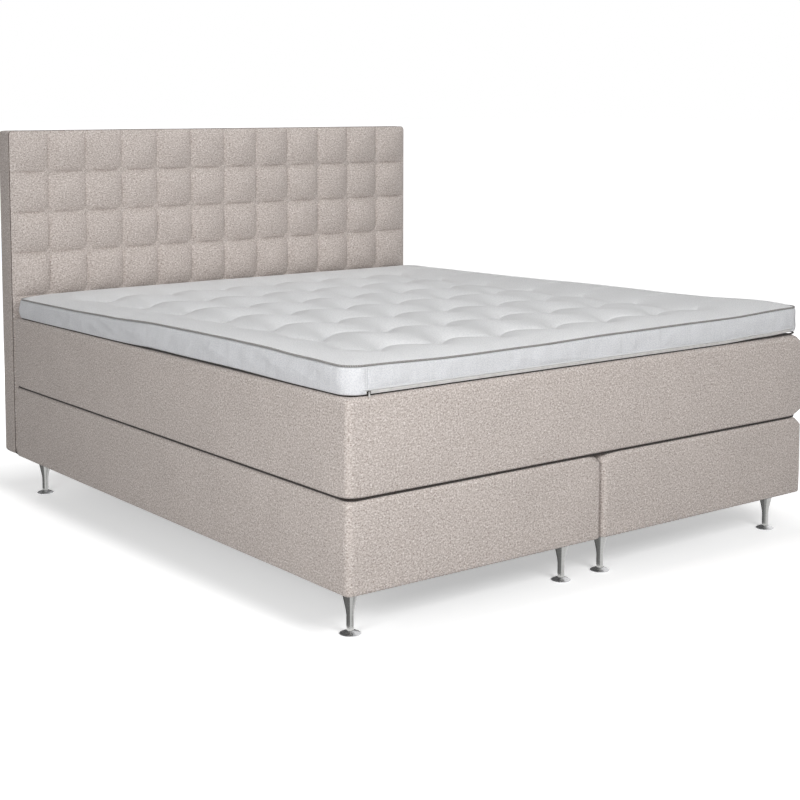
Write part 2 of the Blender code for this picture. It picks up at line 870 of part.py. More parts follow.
def zip_slider_and_pull():
    """Slider at the left end of the zip, and the pull that hangs from its pin: both origins on the hinge."""
    chain_front = foot_y + topper_inset - seat_gap - zip_tape_thickness - zip_chain_thickness
    slider_front = chain_front - seat_gap - slider_thickness
    hinge = (zip_corner_inset - bed_width / 2 + slider_length / 2, slider_front, topper_bottom + zip_height)
    parent = add_empty("zip", hinge)
    low = (-slider_length / 2, 0, -slider_height / 2)
    bm = box(low, (slider_length / 2, slider_thickness, slider_height / 2))
    largest = weigh_edges(bm, only_along("Y", slider_round))
    slider = add_part("zip_slider", to_mesh(bm, "zip_slider"), slider_metal, parent)
    round_edges(slider, largest, 2)
    pin = bmesh.new()
    reach = pull_thickness + 2 * seat_gap
    add_rod(pin, slider_pin_radius, (0, -reach, 0), reach + slider_thickness / 2, "Y", pull_steps)
    boolean(slider, add_cutter("slider_pin", pin, parent), "UNION")
    front = -seat_gap - pull_thickness
    low = (-pull_width / 2, front, pull_eye_inset - pull_length)
    bm = box(low, (pull_width / 2, -seat_gap, pull_eye_inset))
    largest = weigh_edges(bm, only_along("Y", slider_round))
    pull = add_part("zip_pull", to_mesh(bm, "zip_pull"), zip_nylon, parent)
    round_edges(pull, largest, 2)
    eye = bmesh.new()
    eye_radius = slider_pin_radius + pull_eye_clearance
    add_rod(eye, eye_radius, (0, front - overrun, 0), pull_thickness + 2 * overrun, "Y", pull_steps)
    drill(add_cutter("pull_eye", eye, parent), pull)


# Headboard


def tufted_front(parent):
    """Front cover: blind tufted squares over the bedding, and one plain field underneath."""
    plain_height = headboard_height - tuft_rows * tuft_height
    columns = tuft_columns * cell_steps
    x_lines = [headboard_width * (step / columns - 1 / 2) for step in range(columns + 1)]
    tufted = [plain_height + tuft_height * step / cell_steps for step in range(tuft_rows * cell_steps + 1)]
    bm = grid_surface(x_lines, [0, *tufted])
    for vert in bm.verts:
        x, z = vert.co.x, vert.co.y
        column = (x / headboard_width + 1 / 2) * tuft_columns
        row = max(0, (z - plain_height) / tuft_height)
        bulge = 0
        if z < headboard_height:
            bulge = (math.sin(math.pi * (column % 1)) * math.sin(math.pi * (row % 1))) ** tuft_roundness
        z -= headboard_height / 2
        x, z = pulled_round(x, z, headboard_width / 2, headboard_height / 2, headboard_corner_radius)
        vert.co = (x, -front_rim_depth - tuft_crown * bulge, z + headboard_height / 2)
    close_behind(bm, lambda place: (place.x, 0, place.z))
    name = "headboard_tufted_front"
    return smooth(add_part(name, to_mesh(bm, name), beige_cloth, parent))


def headboard_block(name, inset, low, high, material, parent, hollow=False):
    """A block with the headboard's rounded outline between two depths, or only its four walls as a band."""
    half = headboard_width / 2 - inset
    bm = box((-half, low, inset), (half, high, headboard_height - inset))
    largest = weigh_edges(bm, only_along("Y", headboard_corner_radius - inset))
    if hollow:
        open_side(bm, (0, 1, 0))
        open_side(bm, (0, -1, 0))
    part = add_part(name, to_mesh(bm, name), material, parent)
    round_edges(part, largest, 3)
    if hollow:
        thicken_inwards(part, band_thickness)
    return smooth(part)


def frame_pockets(parent):
    """The spaces between the battens behind the headboard's board."""
    bm = bmesh.new()
    half = headboard_width / 2 - board_inset - board_frame_width
    bottom = board_inset + board_frame_width
    width = (2 * half - (board_pockets - 1) * board_upright_width) / board_pockets
    for pocket in range(board_pockets):
        start = pocket * (width + board_upright_width) - half
        low = (start, board_front + board_thickness, bottom)
        add_box(bm, low, (start + width, board_back + overrun, headboard_height - bottom))
    return add_cutter("headboard_frame_pockets", bm, parent)


def bolt_cutter(name, radius, low, high):
    bm = bmesh.new()
    for side in (-1, 1):
        start = (side * base_centre_x, low, leg_height + bolt_height)
        add_rod(bm, radius, start, high - low, "Y", bolt_steps)
    return add_cutter(name, bm)


def headboard(bolt_holes):
    parent = add_empty("headboard", (0, seam_y, headboard_bottom))
    front = tufted_front(parent)
    welt_depth = 2 * welt_radius + seat_gap
    outline = rounded_outline(
        headboard_width - 2 * welt_radius,
        headboard_height - 2 * welt_radius,
        headboard_corner_radius - welt_radius,
        round_steps,
    )
    line = [(x, seat_gap + welt_radius, z + headboard_height / 2) for x, z in outline]
    ring_tube("headboard_welt", line, welt_radius, beige_cloth, parent)
    headboard_block(
        "headboard_side_band", 0, welt_depth + seat_gap, headboard_depth, beige_cloth, parent, hollow=True
    )
    foam = headboard_block(
        "headboard_foam", welt_depth, seat_gap, seat_gap + headboard_foam_thickness, pale_foam, parent
    )
    board = headboard_block("headboard_board", board_inset, board_front, board_back, chipboard, parent)
    drill(frame_pockets(parent), board)
    back = headboard_block(
        "headboard_back_cloth",
        board_inset,
        headboard_depth - back_cloth_thickness,
        headboard_depth,
        lining_cloth,
        parent,
    )
    drill(bolt_holes, front, foam, board)
    access = bolt_head_radius + bolt_access_clearance
    drill(bolt_cutter("bolt_access", access, seam_y + board_back, seam_y + headboard_depth + overrun), back)


def bolts_and_spacers(parent):
    """Through bolts from behind the board into the head rails, with a sleeve in the gap between."""
    seat = seam_y + board_front + board_thickness + seat_gap
    rail_face = head_y - frame_inset - rail_thickness
    shank = seat - rail_face - bolt_end_inset
    bolt_profile = [
        (0, bolt_head_height),
        (bolt_head_radius, bolt_head_height),
        (bolt_head_radius, 0),
        (bolt_radius, 0),
        (bolt_radius, -shank),
        (0, -shank),
    ]
    length = headboard_clearance - front_rim_depth - 2 * seat_gap
    bore = bolt_radius + hole_clearance
    sleeve_profile = [
        (bore, length),
        (spacer_radius, length),
        (spacer_radius, 0),
        (bore, 0),
    ]
    for side_name, side in (("left", -1), ("right", 1)):
        x, z = side * base_centre_x, leg_height + bolt_height
        name = side_name + "_headboard_"
        place = (x, seat, z)
        bolt = turned(name + "bolt", bolt_profile, bolt_steps, zinc_steel, parent, place)
        place = (x, head_y + seat_gap, z)
        spacer = turned(name + "spacer", sleeve_profile, bolt_steps, black_plastic, parent, place, ring=True)
        for piece in (bolt, spacer):
            piece.rotation_euler = (-math.pi / 2, 0, 0)


stand = add_empty("stand", (0, 0, 0))
all_bolt_holes = bolt_cutter(
    "bolt_holes",
    bolt_radius + hole_clearance,
    head_y - frame_inset - rail_thickness - overrun,
    seam_y + board_front + board_thickness + overrun,
)
for base_name, base_side in (("left", -1), ("right", 1)):
    upholstered_base(base_name, base_side, all_bolt_holes)
    legs_and_discs(base_name, base_side, stand)
joining_plates(stand)
mattress()
topper()
zip_slider_and_pull()
headboard(all_bolt_holes)
bolts_and_spacers(stand)
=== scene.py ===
"""Looks of the box spring bed: soft forms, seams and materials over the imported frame, with its studio."""

import json
import math

import bmesh
import bpy
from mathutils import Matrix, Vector, noise


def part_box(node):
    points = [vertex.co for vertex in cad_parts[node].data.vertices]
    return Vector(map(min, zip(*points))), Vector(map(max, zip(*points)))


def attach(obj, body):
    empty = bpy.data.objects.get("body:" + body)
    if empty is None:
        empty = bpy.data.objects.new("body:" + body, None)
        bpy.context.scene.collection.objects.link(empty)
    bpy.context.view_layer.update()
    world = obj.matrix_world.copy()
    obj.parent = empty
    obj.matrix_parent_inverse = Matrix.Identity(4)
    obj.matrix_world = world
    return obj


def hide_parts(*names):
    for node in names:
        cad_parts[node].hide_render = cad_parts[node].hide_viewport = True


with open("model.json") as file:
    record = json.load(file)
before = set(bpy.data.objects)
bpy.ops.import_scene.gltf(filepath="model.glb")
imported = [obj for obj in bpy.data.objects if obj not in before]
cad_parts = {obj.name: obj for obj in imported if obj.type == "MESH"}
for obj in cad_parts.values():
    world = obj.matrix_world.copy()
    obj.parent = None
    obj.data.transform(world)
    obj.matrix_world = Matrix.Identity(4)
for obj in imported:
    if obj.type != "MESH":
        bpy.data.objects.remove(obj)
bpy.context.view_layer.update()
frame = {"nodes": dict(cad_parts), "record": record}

# Sizes in metres that repeat the frame's own
bed_width = 1.800
bed_length = 2.000
total_length = 2.137
base_width = 0.898
base_centre_x = 0.451
leg_height = 0.128
base_height = 0.247
mattress_height = 0.263
topper_height = 0.078
seat_gap = 0.0003
corner_radius = 0.018
top_edge_radius = 0.016
base_bottom_radius = 0.006
base_hem_width = 0.038
mattress_hem_width = 0.060
mattress_head_drop = 0.018
topper_inset = 0.008
topper_corner_radius = 0.048
topper_head_drop = 0.011
piping_radius = 0.003
panel_crown_width = 0.120
quilt_columns = 7
quilt_rows = 7
quilt_pitch_x = 0.214
quilt_pitch_y = 0.252
quilt_left_margin = 0.148
quilt_foot_margin = 0.185
zip_corner_inset = 0.064
zip_height = 0.0085
headboard_width = 1.760
headboard_height = 1.156
headboard_depth = 0.085
headboard_bottom = 0.118
headboard_clearance = 0.052
headboard_corner_radius = 0.014
tuft_columns = 12
tuft_rows = 4
tuft_height = 0.1464
front_rim_depth = 0.006
welt_radius = 0.0025

# Relief, seams and dark cords of painted seam shadow that the scene has on its own
mattress_bottom_radius = 0.007
panel_crown = 0.023
corner_draw = 0.017
corner_draw_width = 0.050
left_corner_share = 0.2
quilt_depth = 0.035
quilt_wave_share = 0.15
quilt_sway_share = 0.05
quilt_fade_share = 0.30
quilt_pressure = 4.5
quilt_room = 0.012
stitch_radius = 0.0008
tuft_depth = 0.025
piping_cord_radius = 0.0027
mattress_shadow_cord_inset = 0.0072
mattress_shadow_cord_corner = 0.028
mattress_shadow_cord_tuck = 0.012
mattress_shadow_cord_radius = 0.0050
topper_shadow_cord_inset = 0.0042
topper_shadow_cord_radius = 0.0026
headboard_shadow_cord_inset = 0.0004
headboard_shadow_cord_radius = 0.0014
border_seam_gap = 0.0066
tooth_pitch = 0.0025

foot_y = -total_length / 2
bed_centre_y = foot_y + bed_length / 2
seam_y = foot_y + bed_length + headboard_clearance
mattress_bottom = leg_height + base_height + seat_gap
topper_bottom = mattress_bottom + mattress_height + seat_gap
topper_width = bed_width - 2 * topper_inset
topper_length = bed_length - 2 * topper_inset


def linear(*levels):
    """Linear colour of three screen levels from 0 to 255."""
    return tuple(((v / 255 + 0.055) / 1.055) ** 2.4 if v > 10 else v / 255 / 12.92 for v in levels)


class Nodes:
    """Builds one procedural material, or the world."""

    def __init__(self, name, kind="materials"):
        self.owner = getattr(bpy.data, kind).new(name)
        self.owner.use_nodes = True
        self.tree = self.owner.node_tree
        self.shader = self.tree.nodes.get("Principled BSDF")

    def add(self, kind, *values, **settings):
        """A node with these inputs by position: a socket is linked, a number or tuple is set, None is left."""
        node = self.tree.nodes.new("ShaderNode" + kind)
        for name, value in settings.items():
            setattr(node, name, value)
        for place, value in enumerate(values):
            self.put(node.inputs[place], value)
        return node

    def put(self, socket, value):
        if isinstance(value, bpy.types.NodeSocket):
            self.tree.links.new(value, socket)
        elif value is not None:
            socket.default_value = value

    def set(self, name, value):
        self.put(self.shader.inputs[name], value)

    def math(self, operation, *values):
        return self.add("Math", *values, operation=operation).outputs[0]

    def weighted(self, *terms):
        """Sum of values that are each followed by their weight."""
        total = None
        for value, weight in zip(terms[::2], terms[1::2]):
            term = self.math("MULTIPLY", value, weight)
            total = term if total is None else self.math("ADD", total, term)
        return total

    def crossing(self, x, y, turn):
        """Product of two waves, one along x and one along y."""
        waves = [self.math("SINE", self.math("MULTIPLY", value, turn)) for value in (x, y)]
        return self.math("MULTIPLY", *waves)

    def noise(self, place, scale, detail=2.0, roughness=0.5, distortion=0.0):
        node = self.add("TexNoise", place)
        self.put(node.inputs["Scale"], scale)
        self.put(node.inputs["Detail"], detail)
        self.put(node.inputs["Roughness"], roughness)
        self.put(node.inputs["Distortion"], distortion)
        return node.outputs["Fac"]

    def cells(self, place, scale, feature="F1"):
        node = self.add("TexVoronoi", place, feature=feature)
        self.put(node.inputs["Scale"], scale)
        return node.outputs["Distance"]

    def scaled(self, place, x, y, z):
        return self.add("VectorMath", place, (x, y, z), operation="MULTIPLY").outputs[0]

    def parts(self, place):
        return self.add("SeparateXYZ", place).outputs

    def spread(self, value, low, high, to_low=0.0, to_high=1.0):
        return self.add("MapRange", value, low, high, to_low, to_high).outputs[0]

    def mix(self, share, first, second, blend="MIX"):
        node = self.add("Mix", data_type="RGBA", blend_type=blend)
        self.put(node.inputs[0], share)
        self.put(node.inputs[6], (*first, 1) if isinstance(first, tuple) else first)
        self.put(node.inputs[7], (*second, 1) if isinstance(second, tuple) else second)
        return node.outputs[2]

    def shaded(self, colour, level):
        """A colour times a grey level."""
        return self.mix(1.0, colour, self.add("CombineXYZ", level, level, level).outputs[0], "MULTIPLY")

    def bump(self, height, distance, strength=1.0, normal=None):
        node = self.add("Bump")
        self.put(node.inputs["Strength"], strength)
        self.put(node.inputs["Distance"], distance)
        self.put(node.inputs["Height"], height)
        self.put(node.inputs["Normal"], normal)
        return node.outputs["Normal"]

    def on_cloth(self):
        """Place on the cloth in metres, from the piece's own map."""
        return self.add("UVMap", uv_map="cloth").outputs[0]

    def on_object(self):
        return self.add("TexCoord").outputs["Object"]

    def seen(self):
        """1 for what the camera sees, straight, in a reflection or through glass."""
        path = self.add("LightPath").outputs
        straight = self.math("MAXIMUM", path["Is Camera Ray"], path["Is Glossy Ray"])
        return self.math("MAXIMUM", straight, path["Is Transmission Ray"])


def woven(name, pale, mid, dark):
    """Melange upholstery cloth: crossing yarns of three tones, slubs and a fine over and under weave."""
    n = Nodes(name)
    place = n.on_cloth()
    drift = n.scaled(n.add("TexNoise", place, None, 90.0).outputs["Color"], 0.0012, 0.0012, 0.0012)
    place = n.add("VectorMath", place, drift, operation="ADD").outputs[0]
    x, y, _ = n.parts(place)
    over = n.crossing(x, y, 3100)
    along = n.noise(n.scaled(place, 170, 620, 1), 1.0, 2.5, 0.6)
    across = n.noise(n.scaled(place, 620, 170, 1), 1.0, 2.5, 0.6)
    yarn = n.add("Mix", n.spread(over, -0.35, 0.35), None, along, across).outputs[0]
    fleck = n.noise(place, 330, 2.0, 0.6)
    clump = n.noise(n.scaled(place, 1, 1.25, 1), 178, 1.5, 0.5)
    tone = n.weighted(yarn, 0.38, fleck, 0.26, clump, 0.36)
    base = n.mix(n.spread(tone, 0.39, 0.495), dark, mid)
    base = n.mix(n.spread(tone, 0.505, 0.615), base, pale)
    cloud = n.spread(n.noise(place, 7, 3.0), 0.3, 0.7, 0.965, 1.02)
    n.set("Base Color", n.shaded(base, cloud))
    n.set("Roughness", n.spread(fleck, 0.3, 0.7, 0.86, 0.97))
    n.set("Sheen Weight", 0.12)
    n.set("Sheen Roughness", 0.5)
    n.set("Specular IOR Level", 0.2)
    height = n.math("ADD", n.math("MULTIPLY", over, 0.35), tone)
    n.set("Normal", n.bump(height, 0.0004, 0.8))
    return n.owner


def ticking(name, colour, shadow, creases_and_fold_shade=0.0):
    """White knitted ticking: rows of small stitches, a soft nap and creases, upright ones where it hangs. Along
    the creases the colour is painted lighter and darker as their shade.
    """
    n = Nodes(name)
    place = n.on_cloth()
    x, y, _ = n.parts(place)
    lean = n.math("MULTIPLY", n.math("PINGPONG", x, 0.0009), 1.2)
    rows = n.math("SINE", n.math("MULTIPLY", n.math("ADD", y, lean), 3600))
    columns = n.math("SINE", n.math("MULTIPLY", x, 3490))
    knit = n.weighted(rows, 0.5, columns, 0.5)
    nap = n.noise(place, 420, 2.0, 0.6)
    soft = n.noise(place, 16, 3.0, 0.5, 0.6)
    grain = n.noise(n.scaled(place, 1, 1.6, 1), 190, 3.0, 0.65)
    base = n.mix(n.spread(n.math("ADD", nap, grain), 0.78, 1.22), shadow, colour)
    cloud = n.spread(n.noise(place, 6, 2.0), 0.3, 0.7, 0.975, 1.012)
    if creases_and_fold_shade:
        upright = n.noise(n.scaled(place, 95, 9, 1), 1.0, 3.0, 0.6, 0.4)
        turned = n.add("VectorRotate", place, None, None, 0.6).outputs[0]
        slanting = n.noise(n.scaled(turned, 26, 7, 1), 1.0, 2.0)
        folds = n.math("ADD", upright, slanting)
        # Painted shade of the folds: the colour goes darker and lighter along them.
        cloud = n.math("MULTIPLY", cloud, n.spread(folds, 0.75, 1.25, 1 - creases_and_fold_shade, 1 + creases_and_fold_shade))
        soft = n.math("ADD", n.math("MULTIPLY", soft, 0.4), folds)
    n.set("Base Color", n.shaded(base, cloud))
    n.set("Roughness", n.spread(nap, 0.3, 0.7, 0.80, 0.93))
    n.set("Sheen Weight", 0.10)
    n.set("Sheen Roughness", 0.5)
    n.set("Specular IOR Level", 0.25)
    fine = n.bump(n.math("ADD", knit, n.math("ADD", nap, grain)), 0.0006, 0.7)
    n.set("Normal", n.bump(soft, 0.0025, 0.5, fine))
    return n.owner


def twisted_cord(name, pale, dark, pitch=0.0042):
    """Piping cloth of twisted yarns, as slanting bands round the cord."""
    n = Nodes(name)
    place = n.on_cloth()
    x, y, _ = n.parts(place)
    turn = n.math("ADD", n.math("DIVIDE", x, pitch), y)
    band = n.math("SINE", n.math("MULTIPLY", turn, 2 * math.pi))
    fibre = n.noise(n.scaled(place, 900, 9, 1), 1.0, 2.0, 0.6)
    n.set("Base Color", n.mix(n.spread(n.math("ADD", band, fibre), -0.4, 1.4), dark, pale))
    n.set("Roughness", n.spread(fibre, 0.3, 0.7, 0.82, 0.95))
    n.set("Sheen Weight", 0.12)
    n.set("Specular IOR Level", 0.25)
    n.set("Normal", n.bump(n.math("ADD", band, fibre), 0.0004, 0.8))
    return n.owner


def spunbond(name, colour, speck):
    """Non-woven lining: matted fibres pressed with a grid of small dots."""
    n = Nodes(name)
    place = n.on_object()
    fibre = n.noise(n.scaled(place, 1, 3, 1), 260, 4.0, 0.7)
    cloud = n.noise(place, 11, 3.0)
    x, y, _ = n.parts(place)
    pressed = n.spread(n.crossing(x, y, 2500), 0.55, 0.8)
    tone = n.weighted(fibre, 0.6, cloud, 0.4)
    n.set("Base Color", n.mix(n.spread(tone, 0.35, 0.68), colour, speck))
    n.set("Roughness", n.math("SUBTRACT", 0.93, n.math("MULTIPLY", pressed, 0.25)))
    n.set("Normal", n.bump(n.math("SUBTRACT", fibre, pressed), 0.0005, 0.7))
    return n.owner


def foam(name, colour, pore):
    """Cut foam: open pores and faint clouds of tone."""
    n = Nodes(name)
    place = n.on_object()
    pores = n.cells(place, 420)
    cloud = n.noise(place, 14, 3.0)
    tone = n.math("ADD", pores, n.math("MULTIPLY", cloud, 0.4))
    n.set("Base Color", n.mix(n.spread(tone, 0.2, 0.8), pore, colour))
    n.set("Roughness", n.spread(cloud, 0.3, 0.7, 0.90, 0.97))
    n.set("Normal", n.bump(pores, 0.0008, 0.6))
    return n.owner


def spruce(name, early, late):
    """Planed wood: long growth lines along the boards, with a fine grain."""
    n = Nodes(name)
    place = n.on_object()
    rings = n.noise(n.scaled(place, 9, 0.35, 16), 4.0, 3.0, 0.55, 0.8)
    lines = n.math("PINGPONG", n.math("MULTIPLY", rings, 9), 1.0)
    grain = n.noise(n.scaled(place, 420, 14, 420), 1.0, 2.0, 0.6)
    tone = n.weighted(lines, 0.7, grain, 0.3)
    n.set("Base Color", n.mix(n.spread(tone, 0.2, 0.9), early, late))
    n.set("Roughness", n.spread(grain, 0.3, 0.7, 0.5, 0.7))
    n.set("Normal", n.bump(tone, 0.0003, 0.5))
    return n.owner


def flakeboard(name, pale, dark):
    """Raw board of pressed wood flakes."""
    n = Nodes(name)
    place = n.on_object()
    flake = n.add("TexVoronoi", n.scaled(place, 1, 1, 2.2), None, 260.0).outputs["Color"]
    grey = n.parts(flake)[0]
    grain = n.noise(place, 700, 2.0)
    n.set("Base Color", n.mix(n.spread(n.math("ADD", grey, grain), 0.2, 1.7), dark, pale))
    n.set("Roughness", n.spread(grain, 0.3, 0.7, 0.68, 0.82))
    n.set("Normal", n.bump(grey, 0.0004, 0.6))
    return n.owner


def steel(name, colour, streak, rough, fine):
    """Metal brushed round its own axis, with faint scratches and handling marks."""
    n = Nodes(name)
    place = n.on_object()
    brushed = n.noise(n.scaled(place, 9, 9, fine), 1.0, 3.0, 0.65)
    smudge = n.noise(place, 45, 3.0)
    n.set("Base Color", n.mix(n.spread(brushed, 0.3, 0.7), streak, colour))
    n.set("Metallic", 1.0)
    marks = n.weighted(brushed, 0.6, smudge, 0.4)
    n.set("Roughness", n.spread(marks, 0.3, 0.7, rough * 0.75, rough * 1.3))
    n.set("Normal", n.bump(brushed, 0.00004, 0.6))
    return n.owner


def moulded(name, colour, worn, rough):
    """Moulded plastic with a fine grain and worn patches."""
    n = Nodes(name)
    place = n.on_object()
    grain = n.noise(place, 1500, 2.0)
    cloud = n.noise(place, 90, 3.0)
    n.set("Base Color", n.mix(n.spread(cloud, 0.35, 0.7), colour, worn))
    n.set("Roughness", n.spread(cloud, 0.3, 0.7, rough, rough + 0.12))
    n.set("Normal", n.bump(grain, 0.00006, 0.5))
    return n.owner


beige = woven("beige_melange_weave", linear(233, 226, 222), linear(196, 186, 180), linear(151, 138, 130))
# The top's ticking is a lighter copy of the border's: painted light on the quilted top. The border's copy is
# darker and bluish: painted shade along the border.
lit_white_ticking = ticking("white_knit_ticking_painted_lit", linear(250, 250, 250), linear(225, 226, 228))
shaded_border_ticking = ticking("white_border_ticking_painted_shade", linear(243, 243, 244), linear(214, 216, 221), 0.035)
cord_grey = twisted_cord("grey_twisted_piping", linear(178, 176, 174), linear(104, 102, 100))
# Dark cord colour laid along open seams: painted seam shadow, not a real tape.
painted_seam_shadow = twisted_cord("painted_seam_shadow_cord", linear(54, 47, 43), linear(34, 29, 27))
# A lighter copy of the beige cloth for the welt: painted highlight along its rounded edge.
welt_cloth_painted_highlight = woven("beige_welt_weave_painted_highlight", linear(240, 226, 218), linear(222, 206, 197), linear(190, 172, 162))
lining = spunbond("grey_non_woven", linear(150, 150, 150), linear(168, 168, 167))
pocket_cloth = spunbond("white_non_woven", linear(200, 203, 203), linear(218, 220, 220))
foam_cells = foam("cream_foam", linear(232, 224, 196), linear(196, 186, 150))
timber = spruce("planed_spruce", linear(214, 184, 146), linear(178, 142, 100))
chipboard = flakeboard("raw_chipboard", linear(204, 176, 138), linear(150, 122, 88))
brushed = steel("brushed_steel_finish", linear(214, 214, 212), linear(186, 186, 184), 0.17, 2600)
chrome = steel("polished_chrome_finish", linear(232, 232, 233), linear(220, 220, 222), 0.26, 900)
zinc = steel("zinc_plated_finish", linear(188, 188, 186), linear(168, 168, 164), 0.40, 400)
black = moulded("black_moulded_plastic", linear(34, 34, 36), linear(50, 50, 52), 0.45)
# Off-white nylon, greyed further as painted shade from the flap over the zip.
flap_shaded_nylon = moulded("nylon_greyed_as_flap_shade", linear(206, 204, 202), linear(192, 190, 187), 0.45)
slider_metal = steel("dark_slider_finish", linear(62, 60, 58), linear(40, 39, 38), 0.34, 900)
# Thread greyed darker than the ticking so that the sewn rows draw as dark lines: partly real stitching, partly
# painted groove shade.
groove_shade_thread = twisted_cord("sewing_thread_greyed_as_groove_shade", linear(206, 206, 208), linear(150, 150, 154), 0.0035)


def add_piece(name, bm, material, body, nodes=()):
    """One piece of the scene, which rides on its body and stands for the CAD nodes it names."""
    mesh = bpy.data.meshes.new(name)
    bm.to_mesh(mesh)
    bm.free()
    mesh.materials.append(material)
    mesh.shade_smooth()
    piece = bpy.data.objects.new(name, mesh)
    bpy.context.scene.collection.objects.link(piece)
    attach(piece, body)
    if nodes:
        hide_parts(*nodes)
    return piece


def even(start, end, spacing):
    """Places from start to end, both included, no further apart than the spacing."""
    count = max(1, math.ceil(abs(end - start) / spacing))
    return [start + (end - start) * step / count for step in range(count + 1)]


def ring_points(half_x, half_y, radius, spacing, close=()):
    """Points round a rounded rectangle, from the middle of its +Y side: (x, y, normal, distance along).

    Close gives extra points at these distances either side of each corner's middle.
    """
    straight_x, straight_y = half_x - radius, half_y - radius
    points = []
    run = 0.0

    def side(start, end, normal):
        nonlocal run
        length = math.dist(start, end)
        places = even(0, length, spacing)[:-1]
        for place in places:
            share = place / length
            points.append(
                (
                    start[0] + (end[0] - start[0]) * share,
                    start[1] + (end[1] - start[1]) * share,
                    normal[0],
                    normal[1],
                    run + place,
                )
            )
        run += length

    def corner(cx, cy, start_angle):
        nonlocal run
        middle = math.pi / 4 * radius
        places = [math.pi / 2 * radius * step / 10 for step in range(10)]
        if close:
            kept = [place for place in places if abs(place - middle) > close[-1] * 1.4]
            places = sorted(kept + [middle] + [middle + sign * gap for gap in close for sign in (-1, 1)])
        for place in places:
            angle = start_angle + place / radius
            nx, ny = math.cos(angle), math.sin(angle)
            points.append((cx + nx * radius, cy + ny * radius, nx, ny, run + place))
        run += math.pi / 2 * radius

    side((0, half_y), (-straight_x, half_y), (0, 1))
    corner(-straight_x, straight_y, math.pi / 2)
    side((-half_x, straight_y), (-half_x, -straight_y), (-1, 0))
    corner(-straight_x, -straight_y, math.pi)
    side((-straight_x, -half_y), (straight_x, -half_y), (0, -1))
    corner(straight_x, -straight_y, 3 * math.pi / 2)
    side((half_x, -straight_y), (half_x, straight_y), (1, 0))
    corner(straight_x, straight_y, 0)
    side((straight_x, half_y), (0, half_y), (0, 1))
    return points, run


def inset_place(point, inset, half_x, half_y, radius):
    """A ring point moved inwards, with the corners running to the middle."""
    x, y, nx, ny, _ = point
    core_x, core_y = x - nx * radius, y - ny * radius
    left = max(radius - inset, 0)
    reach_x, reach_y = max(half_x - inset, 0), max(half_y - inset, 0)
    return (
        max(-reach_x, min(reach_x, core_x + nx * left)),
        max(-reach_y, min(reach_y, core_y + ny * left)),
    )


def arc_rows(radius, height, upwards, steps):
    """(inset, height) rows round a quarter turn between a wall and a level face."""
    rows = []
    for step in range(steps + 1):
        angle = math.pi / 2 * step / steps
        if upwards:
            rows.append((radius * (1 - math.cos(angle)), height - radius * (1 - math.sin(angle))))
        else:
            rows.append((radius * (1 - math.sin(angle)), height + radius * (1 - math.cos(angle))))
    return rows


def loft(ring, total, rows, place, size, level_rows=(), cyclic=False):
    """Skin over rings that lie at each row's inset and height. Place turns a point into its final spot."""
    half_x, half_y, radius = size
    bm = bmesh.new()
    uv = bm.loops.layers.uv.new("cloth")
    lines = []
    runs = [0.0]
    for (inset_a, z_a), (inset_b, z_b) in zip(rows, rows[1:]):
        runs.append(runs[-1] + math.hypot(inset_b - inset_a, z_b - z_a))
    for inset, z in rows:
        line = []
        for point in ring:
            x, y = inset_place(point, inset, half_x, half_y, radius)
            line.append(bm.verts.new(place(x, y, z, point, inset)))
        lines.append(line)
    count = len(ring)
    pairs = [(row, row + 1) for row in range(len(rows) - 1)]
    if cyclic:
        pairs.append((len(rows) - 1, 0))
    for low, high in pairs:
        level = low in level_rows
        for column in range(count):
            after = (column + 1) % count
            corners = (lines[low][column], lines[low][after], lines[high][after], lines[high][column])
            face = bm.faces.new(corners)
            if level:
                for loop in face.loops:
                    loop[uv].uv = loop.vert.co.xy
                continue
            start = ring[column][4]
            end = ring[after][4] if after else total
            high_run = runs[high] if high else runs[-1] + 0.01
            for loop, spot in zip(
                face.loops, ((start, runs[low]), (end, runs[low]), (end, high_run), (start, high_run))
            ):
                loop[uv].uv = spot
    bmesh.ops.remove_doubles(bm, verts=bm.verts, dist=0.000005)
    bmesh.ops.recalc_face_normals(bm, faces=bm.faces)
    return bm


def near_corner(point, half_x, half_y, radius):
    """Distance along the ring from a point to the middle of the nearest corner."""
    x, y, nx, ny, _ = point
    straight_x, straight_y = half_x - radius, half_y - radius
    middle = math.pi / 4 * radius
    if abs(nx) > 0.999:
        return straight_y - abs(y) + middle
    if abs(ny) > 0.999:
        return straight_x - abs(x) + middle
    return abs(abs(math.atan2(abs(ny), abs(nx))) - math.pi / 4) * radius


def seam_depth(distance):
    """A sewn seam across a surface: a narrow valley with the folded allowance raised on both sides."""
    valley = 0.0009 * math.exp(-((distance / 0.0009) ** 2))
    return valley - 0.0005 * math.exp(-(((distance - 0.0032) / 0.0017) ** 2))


def corner_fall(distance, inset, away):
    """How far a sewn corner draws an edge in, which fades along it, into the level face and down the wall."""
    fading = (1 + math.cos(math.pi * min(1, distance / corner_draw_width))) / 2
    for share in (away / (2.6 * corner_draw), inset / (2.0 * corner_draw)):
        left = max(0, 1 - share)
        fading *= left * left * (3 - 2 * left)
    return corner_draw * fading


